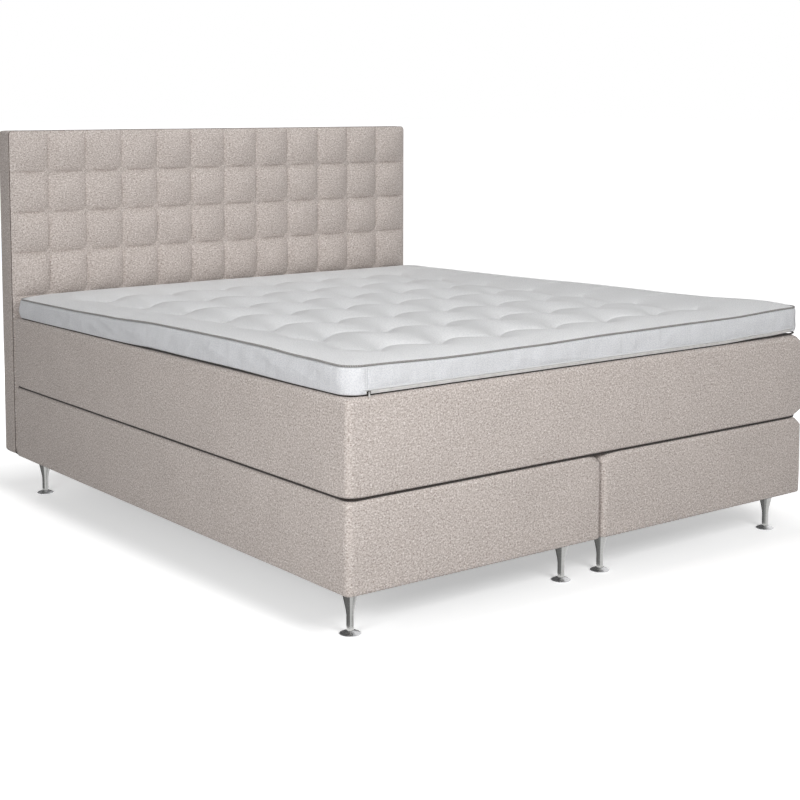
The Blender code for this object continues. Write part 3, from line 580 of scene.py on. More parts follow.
def padded_block(name, centre_x, centre_y, size, levels, drop, body, nodes, seed):
    """An upholstered box: walls that swell a little between sewn corners, a crowned top and a turned hem."""
    half_x, half_y, radius = size
    bottom, top, bottom_radius, top_radius, hem, slit = levels
    ring, total = ring_points(half_x, half_y, radius, 0.014, (0.0007, 0.0016, 0.0030, 0.0050))
    height = top - bottom
    rows = [(half_x, bottom + 0.0035), (hem, bottom + 0.0035), (hem, bottom)]
    rows += [(hem - 0.004, bottom), (hem - 0.010, bottom + slit)]
    rows += [(inset, z) for inset, z in arc_rows(bottom_radius, bottom + slit, False, 6)]
    walls = even(bottom + slit + bottom_radius, top - top_radius, 0.012)
    rows += [(0, z) for z in walls[1:-1]]
    rows += arc_rows(top_radius, top, True, 8)
    first_level = len(rows) - 1
    insets = [top_radius + (half_x - top_radius) * step / 10 for step in range(1, 11)]
    rows += [(inset, top) for inset in insets]
    levels_top = set(range(first_level, len(rows))) | {0, 1}

    def place(x, y, z, point, inset):
        share = max(0, min(1, (z - bottom) / height))
        distance = near_corner(point, half_x, half_y, radius)
        swell = 0.0024 * math.sin(math.pi * share) * min(1, distance / 0.10) ** 0.7
        where = Vector((point[4] * 5.2, z * 9, seed))
        swell += 0.0011 * noise.noise(where)
        pucker = 0.0007 * math.exp(-(((z - top + top_radius * 0.4) / 0.010) ** 2))
        swell += pucker * noise.noise(Vector((point[4] * 34, z * 12, seed + 3)))
        if 0 < share < 1:
            swell -= seam_depth(distance)
        wall = max(0, 1 - inset / (radius * 0.9))
        x += point[2] * swell * wall
        y += point[3] * swell * wall
        crown = 0.0
        if z >= top - 0.0001:
            crown = 0.002 * min(1, (inset - top_radius) / 0.15)
            crown += 0.0008 * noise.noise(Vector((x * 6, y * 6, seed + 7)))
            crown *= min(1, (inset - top_radius) / 0.04)
        fall = corner_fall(distance, inset, top - z)
        if slit:
            fall -= corner_fall(distance, inset, z - bottom)
        fall *= left_corner_share if centre_x + x < -bed_width / 4 else 1
        z -= drop * share * (y / bed_length + 1 / 2) + fall
        return (centre_x + x, centre_y + y, z + crown)

    bm = loft(ring, total, rows, place, size, levels_top)
    piece = add_piece(name, bm, beige, body, nodes)


def bases_and_mattress():
    for side_name, side in (("left", -1), ("right", 1)):
        padded_block(
            side_name + "_base_upholstery",
            side * base_centre_x,
            bed_centre_y,
            (base_width / 2, bed_length / 2, corner_radius),
            (leg_height, leg_height + base_height, base_bottom_radius, top_edge_radius, base_hem_width, 0.0),
            0,
            "bed_frame",
            [side_name + "_base_cover"],
            3.7 * side,
        )
    padded_block(
        "mattress_upholstery",
        0,
        bed_centre_y,
        (bed_width / 2, bed_length / 2, corner_radius),
        (
            mattress_bottom,
            mattress_bottom + mattress_height,
            mattress_bottom_radius,
            top_edge_radius,
            mattress_hem_width,
            0.0040,
        ),
        mattress_head_drop,
        "mattress",
        ["mattress_cover"],
        11.3,
    )


# Height of the topper's rim above its plain form, along each side that shows, as (place, rise)
left_rise = (
    (-0.96, 0.0),
    (-0.80, 0.0040),
    (-0.60, 0.0100),
    (-0.42, 0.0115),
    (-0.02, 0.0112),
    (0.28, 0.0032),
    (0.55, 0.0),
)
front_rise = (
    (-0.86, -0.0010),
    (-0.56, -0.0082),
    (-0.25, -0.0058),
    (0.05, -0.0004),
    (0.36, 0.0010),
    (0.55, 0.0004),
    (0.86, 0.0105),
)
right_rise = ((-0.98, 0.0105), (-0.62, 0.0010), (-0.20, 0.0040), (0.30, -0.0010), (0.80, 0.0))
left_bottom_rise = ((-0.80, 0.0), (-0.35, 0.0042), (-0.02, 0.0040), (0.20, 0.0))
front_bottom_rise = ((0.50, 0.0), (0.70, 0.0045), (0.86, 0.0090))
right_bottom_rise = ((-0.98, 0.0090), (-0.62, 0.0))


def between(table, place):
    """Smooth course through (place, value) pairs."""
    if place <= table[0][0]:
        return table[0][1]
    for (start, low), (end, high) in zip(table, table[1:]):
        if place <= end:
            share = (place - start) / (end - start)
            return low + (high - low) * (1 - math.cos(math.pi * share)) / 2
    return table[-1][1]


def rim_rise(x, y, left, front, right):
    """How far the topper's rim lies above its plain form, fading out towards the middle."""
    weights = (
        (math.exp(-(topper_width / 2 + x) / 0.20), left, y),
        (math.exp(-(topper_width / 2 - x) / 0.20), right, y),
        (math.exp(-(topper_length / 2 + y) / 0.20), front, x),
    )
    total = sum(weight * between(table, place) for weight, table, place in weights)
    return total / max(1, sum(weight for weight, _, _ in weights))


def settled(y, z):
    """Height above the topper's bottom, lowered towards the head end. Y counts from the bed's middle."""
    return z - (y / bed_length + 1 / 2) * (mattress_head_drop + topper_head_drop * z / topper_height)


def topper_place(x, y, z):
    """A place on the plain topper, moved to where the settled topper has it."""
    share = max(0, min(1, z / topper_height))
    low = rim_rise(x, y, left_bottom_rise, front_bottom_rise, right_bottom_rise)
    high = rim_rise(x, y, left_rise, front_rise, right_rise)
    rise = low + (high - low) * share
    return (x, bed_centre_y + y, topper_bottom + settled(y, z) + rise)


def topper_border():
    """Border band that swells between piping and bottom edge, with a double seam near the slider."""
    half_x, half_y, radius = size = (topper_width / 2, topper_length / 2, topper_corner_radius)
    ring, total = ring_points(half_x, half_y, radius, 0.010)
    seam_x = zip_corner_inset - bed_width / 2 - 0.0010
    extra = []
    for middle in (seam_x, seam_x + border_seam_gap):
        for gap in (-0.0030, -0.0016, -0.0007, 0, 0.0007, 0.0016, 0.0030):
            extra.append(middle + gap)
    foot = [point for point in ring if point[3] < -0.999]
    start_x, start_run = foot[0][0], foot[0][4]
    kept = [p for p in ring if not (p[3] < -0.999 and extra[0] - 0.001 < p[0] < extra[-1] + 0.001)]
    added = [(x, -half_y, 0.0, -1.0, start_run + x - start_x) for x in extra]
    ring = sorted(kept + added, key=lambda p: p[4])
    low, high = 0.0030, topper_height - piping_radius - 0.0002
    rows = [(0.026, low + 0.0005), (0.0050, low), (0.0022, low + 0.0004), (0.0006, low + 0.0018)]
    rows += [(0, z) for z in even(low + 0.004, high - 0.006, 0.0055)]
    rows += [(0.0004, high - 0.003), (0.0016, high - 0.0008), (0.0034, high)]
    rows += [(0.026, high - 0.001)]

    def place(x, y, z, point, inset):
        share = (z - low) / (high - low)
        distance = near_corner(point, half_x, half_y, radius)
        wave = noise.noise(Vector((point[4] * 7, share * 1.3, 21.0)))
        full = math.sin(math.pi * min(1, max(0, share)))
        swell = (0.0036 + 0.0022 * wave) * full**0.8
        swell += 0.0042 * noise.noise(Vector((point[4] * 11 + share * 1.5, share * 1.2, 4.0))) * full
        swell += 0.0024 * noise.noise(Vector((point[4] * 27 - share * 1.1, share * 1.6, 14.0))) * full**0.6
        swell -= 0.0016 * math.exp(-(((distance - 0.052) / 0.007) ** 2)) * full
        swell -= 0.0012 * math.exp(-((distance / 0.03) ** 2)) * math.sin(math.pi * share)
        if point[3] < -0.999:
            over_zip = max(0, 1 - max(0, z - 0.012) / 0.012)
            swell *= 1 - over_zip
            for middle in (seam_x, seam_x + border_seam_gap):
                seam = 0.0011 * math.exp(-(((x - middle) / 0.0010) ** 2))
                swell -= seam * min(1, max(0, z - 0.014) / 0.004)
        if inset > 0.0055:
            swell = 0
        x += point[2] * swell
        y += point[3] * swell
        lift = 0.0
        if share < 0.3:
            lift = 0.0011 * noise.noise(Vector((point[4] * 3.1, 8.0, 2.0))) * (1 - share / 0.3)
        return topper_place(x, y, z + max(-0.0015, lift))

    bm = loft(ring, total, rows, place, size, cyclic=True)
    piece = add_piece("topper_border_band", bm, shaded_border_ticking, "topper", ["topper_border"])


def tube(name, points, normals, radius, material, body, nodes, steps=10, closed=True, flatten=1.0):
    """A cord along a line of points, with a map of its length and its turn."""
    bm = bmesh.new()
    uv = bm.loops.layers.uv.new("cloth")
    runs = [0.0]
    loops = []
    count = len(points)
    for index, (point, normal) in enumerate(zip(points, normals)):
        before = points[index - 1] if closed or index else points[index]
        after = points[(index + 1) % count] if closed or index < count - 1 else points[index]
        tangent = (Vector(after) - Vector(before)).normalized()
        out = (Vector(normal) - tangent * tangent.dot(Vector(normal))).normalized()
        up = tangent.cross(out)
        line = []
        for step in range(steps):
            angle = 2 * math.pi * step / steps
            rim = Vector(point) + out * math.cos(angle) * radius * flatten + up * math.sin(angle) * radius
            line.append(bm.verts.new(rim))
        loops.append(line)
        runs.append(runs[-1] + math.dist(point, points[(index + 1) % count]))
    for index in range(count if closed else count - 1):
        after = (index + 1) % count
        for step in range(steps):
            turn = (step + 1) % steps
            here, on = loops[index], loops[after]
            face = bm.faces.new((here[step], on[step], on[turn], here[turn]))
            spots = (
                (runs[index], step / steps),
                (runs[index + 1], step / steps),
                (runs[index + 1], (step + 1) / steps),
                (runs[index], (step + 1) / steps),
            )
            for loop, spot in zip(face.loops, spots):
                loop[uv].uv = spot
    if not closed:
        bm.faces.new(loops[0])
        bm.faces.new(list(reversed(loops[-1])))
    bmesh.ops.recalc_face_normals(bm, faces=bm.faces)
    return add_piece(name, bm, material, body, nodes)


def seam_shadow_cords():
    """Dark cords in the open seams under the mattress and under the topper, as their painted shadow."""
    inset, radius = mattress_shadow_cord_inset, mattress_shadow_cord_corner
    half_x, half_y = bed_width / 2 - inset, bed_length / 2 - inset
    ring, _ = ring_points(half_x, half_y, radius, 0.02)
    points = []
    for point in ring:
        x, y, nx, ny, _ = point
        tuck = 0
        if x > 0:
            share = near_corner(point, half_x, half_y, radius) / corner_draw_width
            tuck = mattress_shadow_cord_tuck * max(0, 1 - share)
        points.append((x - nx * tuck, bed_centre_y + y - ny * tuck, mattress_bottom + 0.0028))
    normals = [(nx, ny, 0) for _, _, nx, ny, _ in ring]
    tube(
        "mattress_painted_seam_shadow", points, normals, mattress_shadow_cord_radius, painted_seam_shadow, "mattress", (), 8
    )

    inset = topper_shadow_cord_inset
    half_x, half_y = topper_width / 2 - inset, topper_length / 2 - inset
    ring, _ = ring_points(half_x, half_y, topper_corner_radius - inset, 0.02)
    points = []
    for x, y, *_ in ring:
        rise = 0.5 * rim_rise(x, y, left_bottom_rise, front_bottom_rise, right_bottom_rise)
        points.append((x, bed_centre_y + y, topper_bottom + settled(y, 0.0016) + rise))
    normals = [(nx, ny, 0) for _, _, nx, ny, _ in ring]
    tube("topper_painted_seam_shadow", points, normals, topper_shadow_cord_radius, painted_seam_shadow, "topper", (), 8)


def topper_piping():
    """Piping along the topper's upper edge, a little uneven as sewn piping is."""
    half_x, half_y = topper_width / 2 - piping_radius, topper_length / 2 - piping_radius
    ring, _ = ring_points(half_x, half_y, topper_corner_radius - piping_radius, 0.006)
    points, normals = [], []
    for x, y, nx, ny, run in ring:
        sway = 0.0007 * noise.noise(Vector((run * 6, 5.0, 1.0)))
        lift = 0.0006 * noise.noise(Vector((run * 8, 2.0, 9.0)))
        points.append(topper_place(x + nx * sway, y + ny * sway, topper_height + lift))
        normals.append((nx, ny, 0))
    nodes = ["topper_piping"]
    piece = tube(
        "topper_piping_cord", points, normals, piping_cord_radius, cord_grey, "topper", nodes
    )


def panel_lines(size, first, pitch, count, radius):
    """Grid lines across the panel, with one on each line of stitching."""
    half = size / 2
    last = first + pitch * (count - 1)
    rim = (0, 0.004, 0.010, 0.018, 0.027, 0.036, radius)
    start = [place - half for place in rim]
    before = even(radius - half, first, 0.0085)[1:]
    quilted = even(first, last, pitch / 26)[1:]
    after = even(last, half - radius, 0.0085)[1:]
    end = [half - place for place in reversed(rim[:-1])]
    return start + before + quilted + after + end


def past_field(cell, count):
    """How many cells a place lies outside the quilted field."""
    return max(0, -cell, cell - (count - 1))


def puff(cell, count, roundness):
    """0 on a line of stitching and 1 half a cell away from it."""
    outside = past_field(cell, count)
    share = min(outside, 1 / 2) if outside else cell % 1
    return abs(math.sin(math.pi * share)) ** roundness


def pulled_round(x, y, half_x, half_y, radius):
    """A place of a square-cornered panel, drawn in so that the corners are round."""
    a, b = abs(x) - (half_x - radius), abs(y) - (half_y - radius)
    if a <= 0 or b <= 0:
        return x, y
    share = max(a, b) / math.hypot(a, b)
    return math.copysign(half_x - radius + a * share, x), math.copysign(half_y - radius + b * share, y)


def grid(x_lines, y_lines, place):
    """A grid whose points are placed one by one, mapped by its own lines."""
    bm = bmesh.new()
    uv = bm.loops.layers.uv.new("cloth")
    points = [[bm.verts.new(place(x, y)) for x in x_lines] for y in y_lines]
    for row in range(len(y_lines) - 1):
        for column in range(len(x_lines) - 1):
            face = bm.faces.new(
                (
                    points[row][column],
                    points[row][column + 1],
                    points[row + 1][column + 1],
                    points[row + 1][column],
                )
            )
            spots = (
                (x_lines[column], y_lines[row]),
                (x_lines[column + 1], y_lines[row]),
                (x_lines[column + 1], y_lines[row + 1]),
                (x_lines[column], y_lines[row + 1]),
            )
            for loop, spot in zip(face.loops, spots):
                loop[uv].uv = spot
    bm.verts.index_update()
    return bm


def close_behind(bm, back_place):
    """Walls from the open rim of a grid to a flat back, and the back itself."""
    rim = [edge for edge in bm.edges if edge.is_boundary]
    made = bmesh.ops.extrude_edge_only(bm, edges=rim)["geom"]
    for vert in made:
        if isinstance(vert, bmesh.types.BMVert):
            vert.co = back_place(vert.co)
    new_edges = [edge for edge in made if isinstance(edge, bmesh.types.BMEdge) and edge.is_boundary]
    bmesh.ops.holes_fill(bm, edges=new_edges, sides=0)
    bmesh.ops.recalc_face_normals(bm, faces=bm.faces)


def simulated(bm, held, room, pressure, frames=20):
    """Cloth of this mesh, inflated while the held points stay where they are.

    Room is how far each point may move. Most of a level move is left out, so that no fold hangs over a seam.
    """
    mesh = bpy.data.meshes.new("cloth_start")
    bm.to_mesh(mesh)
    obj = bpy.data.objects.new("cloth_start", mesh)
    bpy.context.scene.collection.objects.link(obj)
    group = obj.vertex_groups.new(name="held")
    group.add(held, 1.0, "REPLACE")
    modifier = obj.modifiers.new("cloth", "CLOTH")
    settings = modifier.settings
    settings.quality = 5
    settings.mass = 0.15
    settings.tension_stiffness = 15
    settings.compression_stiffness = 15
    settings.shear_stiffness = 4
    settings.bending_stiffness = 0.05
    settings.air_damping = 2
    settings.use_pressure = True
    settings.uniform_pressure_force = pressure
    settings.vertex_group_mass = "held"
    settings.effector_weights.gravity = 0
    modifier.collision_settings.use_collision = False
    modifier.collision_settings.use_self_collision = False
    modifier.point_cache.frame_start = 1
    modifier.point_cache.frame_end = frames
    scene = bpy.context.scene
    for step in range(1, frames + 1):
        scene.frame_set(step)
    after = obj.evaluated_get(bpy.context.evaluated_depsgraph_get()).data
    places = [vert.co.copy() for vert in after.vertices]
    scene.frame_set(1)
    bpy.data.objects.remove(obj)
    bpy.data.meshes.remove(mesh)
    bm.verts.ensure_lookup_table()
    for vert, place in zip(bm.verts, places):
        move = place - vert.co
        reach = room[vert.index]
        move *= min(1, reach / max(reach, move.length)) if reach > 0.00001 else 0
        vert.co += Vector((move.x * 0.15, move.y * 0.15, move.z))
    free = [vert for vert in bm.verts if room[vert.index] > 0.003]
    bmesh.ops.smooth_vert(bm, verts=free, factor=0.5, use_axis_x=True, use_axis_y=True, use_axis_z=True)
    return bm


def refined(bm):
    """The mesh with one level of subdivision."""
    mesh = bpy.data.meshes.new("refine_start")
    bm.to_mesh(mesh)
    bm.free()
    obj = bpy.data.objects.new("refine_start", mesh)
    bpy.context.scene.collection.objects.link(obj)
    modifier = obj.modifiers.new("smooth", "SUBSURF")
    modifier.levels = 1
    modifier.render_levels = 1
    modifier.uv_smooth = "NONE"
    modifier.boundary_smooth = "PRESERVE_CORNERS"
    after = obj.evaluated_get(bpy.context.evaluated_depsgraph_get()).data
    fine = bmesh.new()
    fine.from_mesh(after)
    bpy.data.objects.remove(obj)
    bpy.data.meshes.remove(mesh)
    return fine


def spots_of(bm):
    """(vertex, x, y on the flat cloth) of each vertex."""
    uv = bm.loops.layers.uv["cloth"]
    for vert in bm.verts:
        if vert.link_loops:
            yield vert, *vert.link_loops[0][uv].uv


def quilted_top():
    """The topper's top, puffed between wavy lines of stitching, with small puckers along the lines."""
    inset = topper_inset + 2 * piping_radius + seat_gap
    radius = topper_corner_radius - 2 * piping_radius - seat_gap
    width, length = bed_width - 2 * inset, bed_length - 2 * inset
    first_x, first_y = quilt_left_margin - bed_width / 2, quilt_foot_margin - bed_length / 2
    x_lines = panel_lines(width, first_x, quilt_pitch_x, quilt_columns, radius)
    y_lines = panel_lines(length, first_y, quilt_pitch_y, quilt_rows, radius)

    def field(x, y):
        """Place in cells, how far inside the field, and distances to the nearest stitching."""
        u, v = (x - first_x) / quilt_pitch_x, (y - first_y) / quilt_pitch_y
        run_u = max(0, 1 - past_field(u, quilt_columns) / quilt_fade_share)
        run_v = max(0, 1 - past_field(v, quilt_rows) / quilt_fade_share)
        return u, v, run_u, run_v, abs(u - round(u)) * quilt_pitch_x, abs(v - round(v)) * quilt_pitch_y

    def place(x, y):
        u, v, run_u, run_v, _, _ = field(x, y)
        edge = min(width / 2 - abs(x), length / 2 - abs(y))
        calm = min(1, edge / panel_crown_width)
        crown = panel_crown * math.sin(math.pi / 2 * calm)
        end_u = min(abs(u), abs(u - quilt_columns + 1), 0.5)
        groove_u = run_v * (1 - math.sin(math.pi * end_u) ** 0.9)
        fuller = 0.12 * math.sin(2 * math.pi * (u + 0.09)) * (1 if v % 1 < 0.5 else -1)
        groove_v = run_u * (1 - puff(v, quilt_rows, 0.44 - fuller))
        sunk = 1 - (1 - groove_u * 0.32) * (1 - groove_v)
        uneven = 0.0016 * noise.noise(Vector((x * 5, y * 5, 31.0))) * calm
        held = calm * max(0, 1 - past_field(u, quilt_columns) / 0.5)
        held *= max(0, 1 - past_field(v, quilt_rows) / 0.5)
        scallop = 1 - 2 * abs(math.sin(math.pi * (u - 0.16))) ** 1.7
        x -= held * quilt_sway_share * quilt_pitch_x * math.sin(2 * math.pi * v)
        y -= held * quilt_wave_share * quilt_pitch_y * scallop
        x, y = pulled_round(x, y, width / 2, length / 2, radius)
        return topper_place(x, y, topper_height + 0.001 + crown - calm * quilt_depth * sunk + uneven)

    bm = grid(x_lines, y_lines, place)
    held, room = [], {}
    for vert, x, y in spots_of(bm):
        u, v, run_u, run_v, near_u, near_v = field(x, y)
        on_row = near_v < 0.0005 and run_u > 0.35 and past_field(v, quilt_rows) < 0.01
        on_column = near_u < 0.0005 and run_v > 0.35 and round(u) in (0, quilt_columns - 1)
        if on_row or on_column or vert.is_boundary:
            held.append(vert.index)
        from_row = abs(v - min(max(round(v), 0), quilt_rows - 1)) * quilt_pitch_y
        from_column = min(abs(u), abs(u - quilt_columns + 1)) * quilt_pitch_x
        from_rim = min(width / 2 - abs(x), length / 2 - abs(y))
        room[vert.index] = min(quilt_room, 0.50 * min(from_row, from_rim, from_column + quilt_room))
    bm = refined(simulated(bm, held, room, quilt_pressure))
    for vert, x, y in spots_of(bm):
        u, v, run_u, run_v, near_u, near_v = field(x, y)
        inside_u = 1 if 0 <= u <= quilt_columns - 1 else run_u
        inside_v = 1 if 0 <= v <= quilt_rows - 1 else run_v
        by_row = 0.0010 * run_u * inside_v * math.exp(-near_v / 0.016)
        by_column = 0.0006 * run_v * inside_u * math.exp(-near_u / 0.016)
        pucker = by_row * noise.noise(Vector((x * 75, y * 12, 3.0)))
        pucker += by_column * noise.noise(Vector((x * 12, y * 75, 8.0)))
        sink = 0.0003 * run_v * inside_u * math.exp(-((near_u / 0.003) ** 2))
        sink += 0.0042 * run_u * inside_v * math.exp(-((near_v / 0.0035) ** 2))
        vert.co.z += pucker - sink
    stitched = {}
    for vert, x, y in spots_of(bm):
        _, v, run_u, _, _, near_v = field(x, y)
        if near_v < 0.0003 and run_u > 0.35 and past_field(v, quilt_rows) < 0.01:
            stitched.setdefault(round(v), []).append((x, vert.co + Vector((0, 0, 0.0003))))
    close_behind(bm, lambda spot: (spot.x, spot.y, spot.z - 0.006))
    piece = add_piece("topper_quilting", bm, lit_white_ticking, "topper", ["topper_quilted_panel"])
    # The stitch threads, in the greyed thread colour, draw the painted shade line in each row's groove.
    for number, line in sorted(stitched.items()):
        points = [point for _, point in sorted(line, key=lambda pair: pair[0])]
        name = f"topper_stitches_{number + 1}"
        normals = [(0, 0, 1)] * len(points)
        tube(name, points, normals, stitch_radius, groove_shade_thread, "topper", (), 6, False)


def level(middle, x, y, z):
    return (middle.x + x, middle.y + y, z)


def stood_up(middle, x, z, y):
    return (middle.x + x, y, middle.z - z)


def sloped(middle, x, y, z):
    """A level place lowered towards the head as the mattress is."""
    share = (z - mattress_bottom) / mattress_height
    return (middle.x + x, middle.y + y, z - mattress_head_drop * share * ((middle.y + y - foot_y) / bed_length))


def rumpled(middle, x, y, z):
    """A level place with faint hollows."""
    return (middle.x + x, middle.y + y, z - 0.0004 * math.sin(x * 40) * math.sin(y * 31))


def box_sizes(low, high, place_of):
    """Half sizes and both ends of a box, whose thickness is along Y where place_of stands it up."""
    half = (high - low) / 2
    if place_of is stood_up:
        return half.x, half.z, low.y, high.y
    return half.x, half.y, low.z, high.z


def level_block(name, size, low, high, material, body, nodes, place_of):
    """A thin slab with softly rounded edges."""
    half_x = size[0]
    edge = 0.0006
    ring, total = ring_points(*size, 0.05)
    rows = [(half_x, low)] + [(half_x * share + edge, low) for share in (0.5, 0.15)]
    rows += arc_rows(edge, low, False, 2)
    rows += arc_rows(edge, high, True, 2)
    rows += [(half_x * share + edge, high) for share in (0.15, 0.5)] + [(half_x, high)]
    last = len(rows) - 1
    level_rows = {0, 1, 2, last - 3, last - 2, last - 1}
    bm = loft(ring, total, rows, lambda x, y, z, point, inset: place_of(x, y, z), size, level_rows)
    add_piece(name, bm, material, body, nodes)


# How far each line of the tufting lies above an even spacing, as (row, shift)
tuft_shift = ((0, 0.0), (1, 0.0070), (2, 0.0036), (3, 0.0), (4, 0.0))


def headboard_front():
    """Blind tufted squares: pillows that meet in soft valleys and are pinched at their corners."""
    plain = headboard_height - tuft_rows * tuft_height
    pitch = headboard_width / tuft_columns
    side = [0, 0.008, 0.018, 0.032, 0.052, 0.080, 0.118, 0.168, 0.230, 0.304, 0.390]
    cell = side + [0.5 - 0.02, 0.52] + [1 - place for place in reversed(side[1:])]
    places = [column + share for column in range(tuft_columns) for share in cell]
    x_lines = [pitch * place - headboard_width / 2 for place in places]
    x_lines.append(headboard_width / 2)
    z_lines = even(0, plain - 0.012, 0.03) + [plain - 0.007, plain - 0.003]
    z_lines += [plain + tuft_height * (row + share) for row in range(tuft_rows) for share in cell]
    z_lines.append(headboard_height)

    def place(x, z):
        column = (x / headboard_width + 1 / 2) * tuft_columns
        row = (z - plain) / tuft_height
        across, upwards = column % 1, row % 1
        if column >= tuft_columns - 0.0001:
            across = 0
        if row >= tuft_rows - 0.0001:
            upwards = 0
        bulge = 0.0
        edge = min(headboard_width / 2 - abs(x), headboard_height - z, z)
        if row >= 0:
            a, b = math.sin(math.pi * across), math.sin(math.pi * upwards)
            bulge = (max(0, a) ** 0.78) * (max(0, b) ** 0.62)
            near_x = min(across, 1 - across) * pitch
            near_z = min(upwards, 1 - upwards) * tuft_height
            pinch = math.exp(-math.hypot(near_x, near_z) / 0.012)
            crease = math.exp(-abs(near_x - near_z) / 0.004)
            crease *= math.exp(-math.hypot(near_x, near_z) / 0.024)
            outer = edge > 0.04
            bulge -= (0.50 * pinch + 0.16 * crease) * outer
            bulge += 0.12 * noise.noise(Vector((x * 14, z * 14, 17.0))) * min(1, 4 * bulge)
            bulge -= 0.08 * math.exp(-min(near_x, near_z) / 0.003)
            z += between(tuft_shift, row)
        else:
            bulge = 0.5 * min(1, -row * tuft_height / 0.05) * min(1, z / 0.05)
        rim = 1 - min(1, edge / 0.016)
        bulge *= math.sqrt(max(0, 1 - rim * rim))
        z -= headboard_height / 2
        x, z = pulled_round(x, z, headboard_width / 2, headboard_height / 2, headboard_corner_radius)
        depth = front_rim_depth - 0.003 + tuft_depth * bulge
        return (x, seam_y - depth, headboard_bottom + z + headboard_height / 2)

    bm = grid(x_lines, z_lines, place)
    middle = headboard_bottom + headboard_height / 2
    close_behind(bm, lambda spot: (spot.x * 0.9962, seam_y, middle + (spot.z - middle) * 0.9942))
    piece = add_piece("headboard_tufting", bm, beige, "bed_frame", ["headboard_tufted_front"])


def headboard_edges():
    """Dark cord in the front seam as its painted shadow, the welt in a lighter cloth as a painted highlight,
    and the band of cloth round the side.
    """
    half_x, half_z = headboard_width / 2, headboard_height / 2
    middle = headboard_bottom + half_z

    def edge_ring(inset, spacing):
        return ring_points(half_x - inset, half_z - inset, headboard_corner_radius - inset, spacing)[0]

    points, normals = [], []
    for x, z, nx, nz, run in edge_ring(welt_radius, 0.008):
        sway = 0.0004 * noise.noise(Vector((run * 9, 3.0, 6.0)))
        points.append((x + nx * sway, seam_y + seat_gap + welt_radius, middle - z - nz * sway))
        normals.append((nx, 0, -nz))
    ring = edge_ring(headboard_shadow_cord_inset, 0.012)
    seam = [(x, seam_y - 0.0006, middle - z) for x, z, *_ in ring]
    outwards = [(nx, 0, -nz) for _, _, nx, nz, _ in ring]
    body = "bed_frame"
    tube("headboard_painted_seam_shadow", seam, outwards, headboard_shadow_cord_radius, painted_seam_shadow, body, (), 8)
    nodes = ["headboard_welt"]
    piece = tube("headboard_welt_cord", points, normals, welt_radius, welt_cloth_painted_highlight, body, nodes)

    size = (half_x, half_z, headboard_corner_radius)
    ring, total = ring_points(*size, 0.02)
    front = seam_y + 2 * welt_radius + 3 * seat_gap
    back = seam_y + headboard_depth
    rows = [(0.004, front + 0.0008), (0.0012, front), (0.0002, front + 0.0015)]
    rows += [(0, y) for y in even(front + 0.004, back - 0.004, 0.009)]
    rows += [(0.0004, back - 0.0015), (0.0018, back), (0.0045, back - 0.0004), (0.0045, front + 0.002)]

    def place(x, z, y, point, inset):
        share = (y - front) / (back - front)
        swell = 0.0013 + 0.0008 * noise.noise(Vector((point[4] * 5, share, 40.0)))
        swell *= math.sin(math.pi * min(1, max(0, share)))
        if inset > 0.003:
            swell = 0
        return (x + point[2] * swell, y, middle - z - point[3] * swell)

    bm = loft(ring, total, rows, place, size, cyclic=True)
    piece = add_piece("headboard_band_cloth", bm, beige, "bed_frame", ["headboard_side_band"])


def inner_pad(name, node, material, body, place_of, reach=None, dip=0.003, pocket=0.0, radius=0.016):
    """A pad inside the covers: crowned, with sides that pull in between its corners, or in pockets."""
    low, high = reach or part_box(node)
    middle = (low + high) / 2
    half_x, half_y, bottom, top = box_sizes(low, high, place_of)
    edge = 0.008
    ring, total = ring_points(half_x, half_y, radius, 0.013 if pocket else 0.03)
    rows = [(half_x, bottom), (half_x * 0.5, bottom)] + arc_rows(edge, bottom, False, 4)
    rows += [(0, z) for z in even(bottom + edge, top - edge, 0.03)[1:-1]] + arc_rows(edge, top, True, 4)
    rows += [(edge + (half_x - edge) * share, top) for share in (0.05, 0.15, 0.4, 1)]

    def place(x, y, z, point, inset):
        share = (z - bottom) / (top - bottom)
        pull = dip * math.sin(math.pi * share) * min(1, near_corner(point, half_x, half_y, radius) / 0.1)
        pull += pocket * (1 - abs(math.sin(math.pi * point[4] / 0.058)))
        pull *= max(0, 1 - inset / edge)
        sag = dip * max(0, 1 - inset / 0.15) * share
        return place_of(middle, x - point[2] * pull, y - point[3] * pull, z - sag)

    bm = loft(ring, total, rows, place, (half_x, half_y, radius), {0, len(rows) - 2})
    piece = add_piece(name, bm, material, body, [node])


def inner_pads():
    """Foams, spring units and the topper's core."""
    for side in ("left", "right"):
        foam_node, springs_node = side + "_base_foam", side + "_base_springs"
        inner_pad(foam_node + "_pad", foam_node, foam_cells, "bed_frame", level, radius=0.09)
        inner_pad(
            springs_node + "_pad", springs_node, pocket_cloth, "bed_frame", level, pocket=0.004
        )
    inner_pad("mattress_foam_pad", "mattress_foam", foam_cells, "mattress", sloped, radius=0.09)
    inner_pad(
        "mattress_spring_pad",
        "mattress_springs",
        pocket_cloth,
        "mattress",
        sloped,
        pocket=0.004,
        radius=0.09,
    )
    inner_pad("headboard_foam_pad", "headboard_foam", foam_cells, "bed_frame", stood_up)
    low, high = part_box("topper_core")
    reach = (Vector((low.x + 0.004, low.y + 0.004, 0.0055)), Vector((high.x - 0.004, high.y - 0.004, 0.0500)))
    inner_pad(
        "topper_core_pad",
        "topper_core",
        foam_cells,
        "topper",
        lambda middle, x, y, z: topper_place(middle.x + x, middle.y + y - bed_centre_y, z),
        reach,
        radius=0.046,
    )


def lining_slab(name, node, body, radius, place_of):
    """A lining in place of a flat node."""
    low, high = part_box(node)
    middle = (low + high) / 2
    half_x, half_y, bottom, top = box_sizes(low, high, place_of)
    level_block(
        name,
        (half_x, half_y, radius),
        bottom,
        top,
        lining,
        body,
        [node],
        lambda *spot: place_of(middle, *spot),
    )


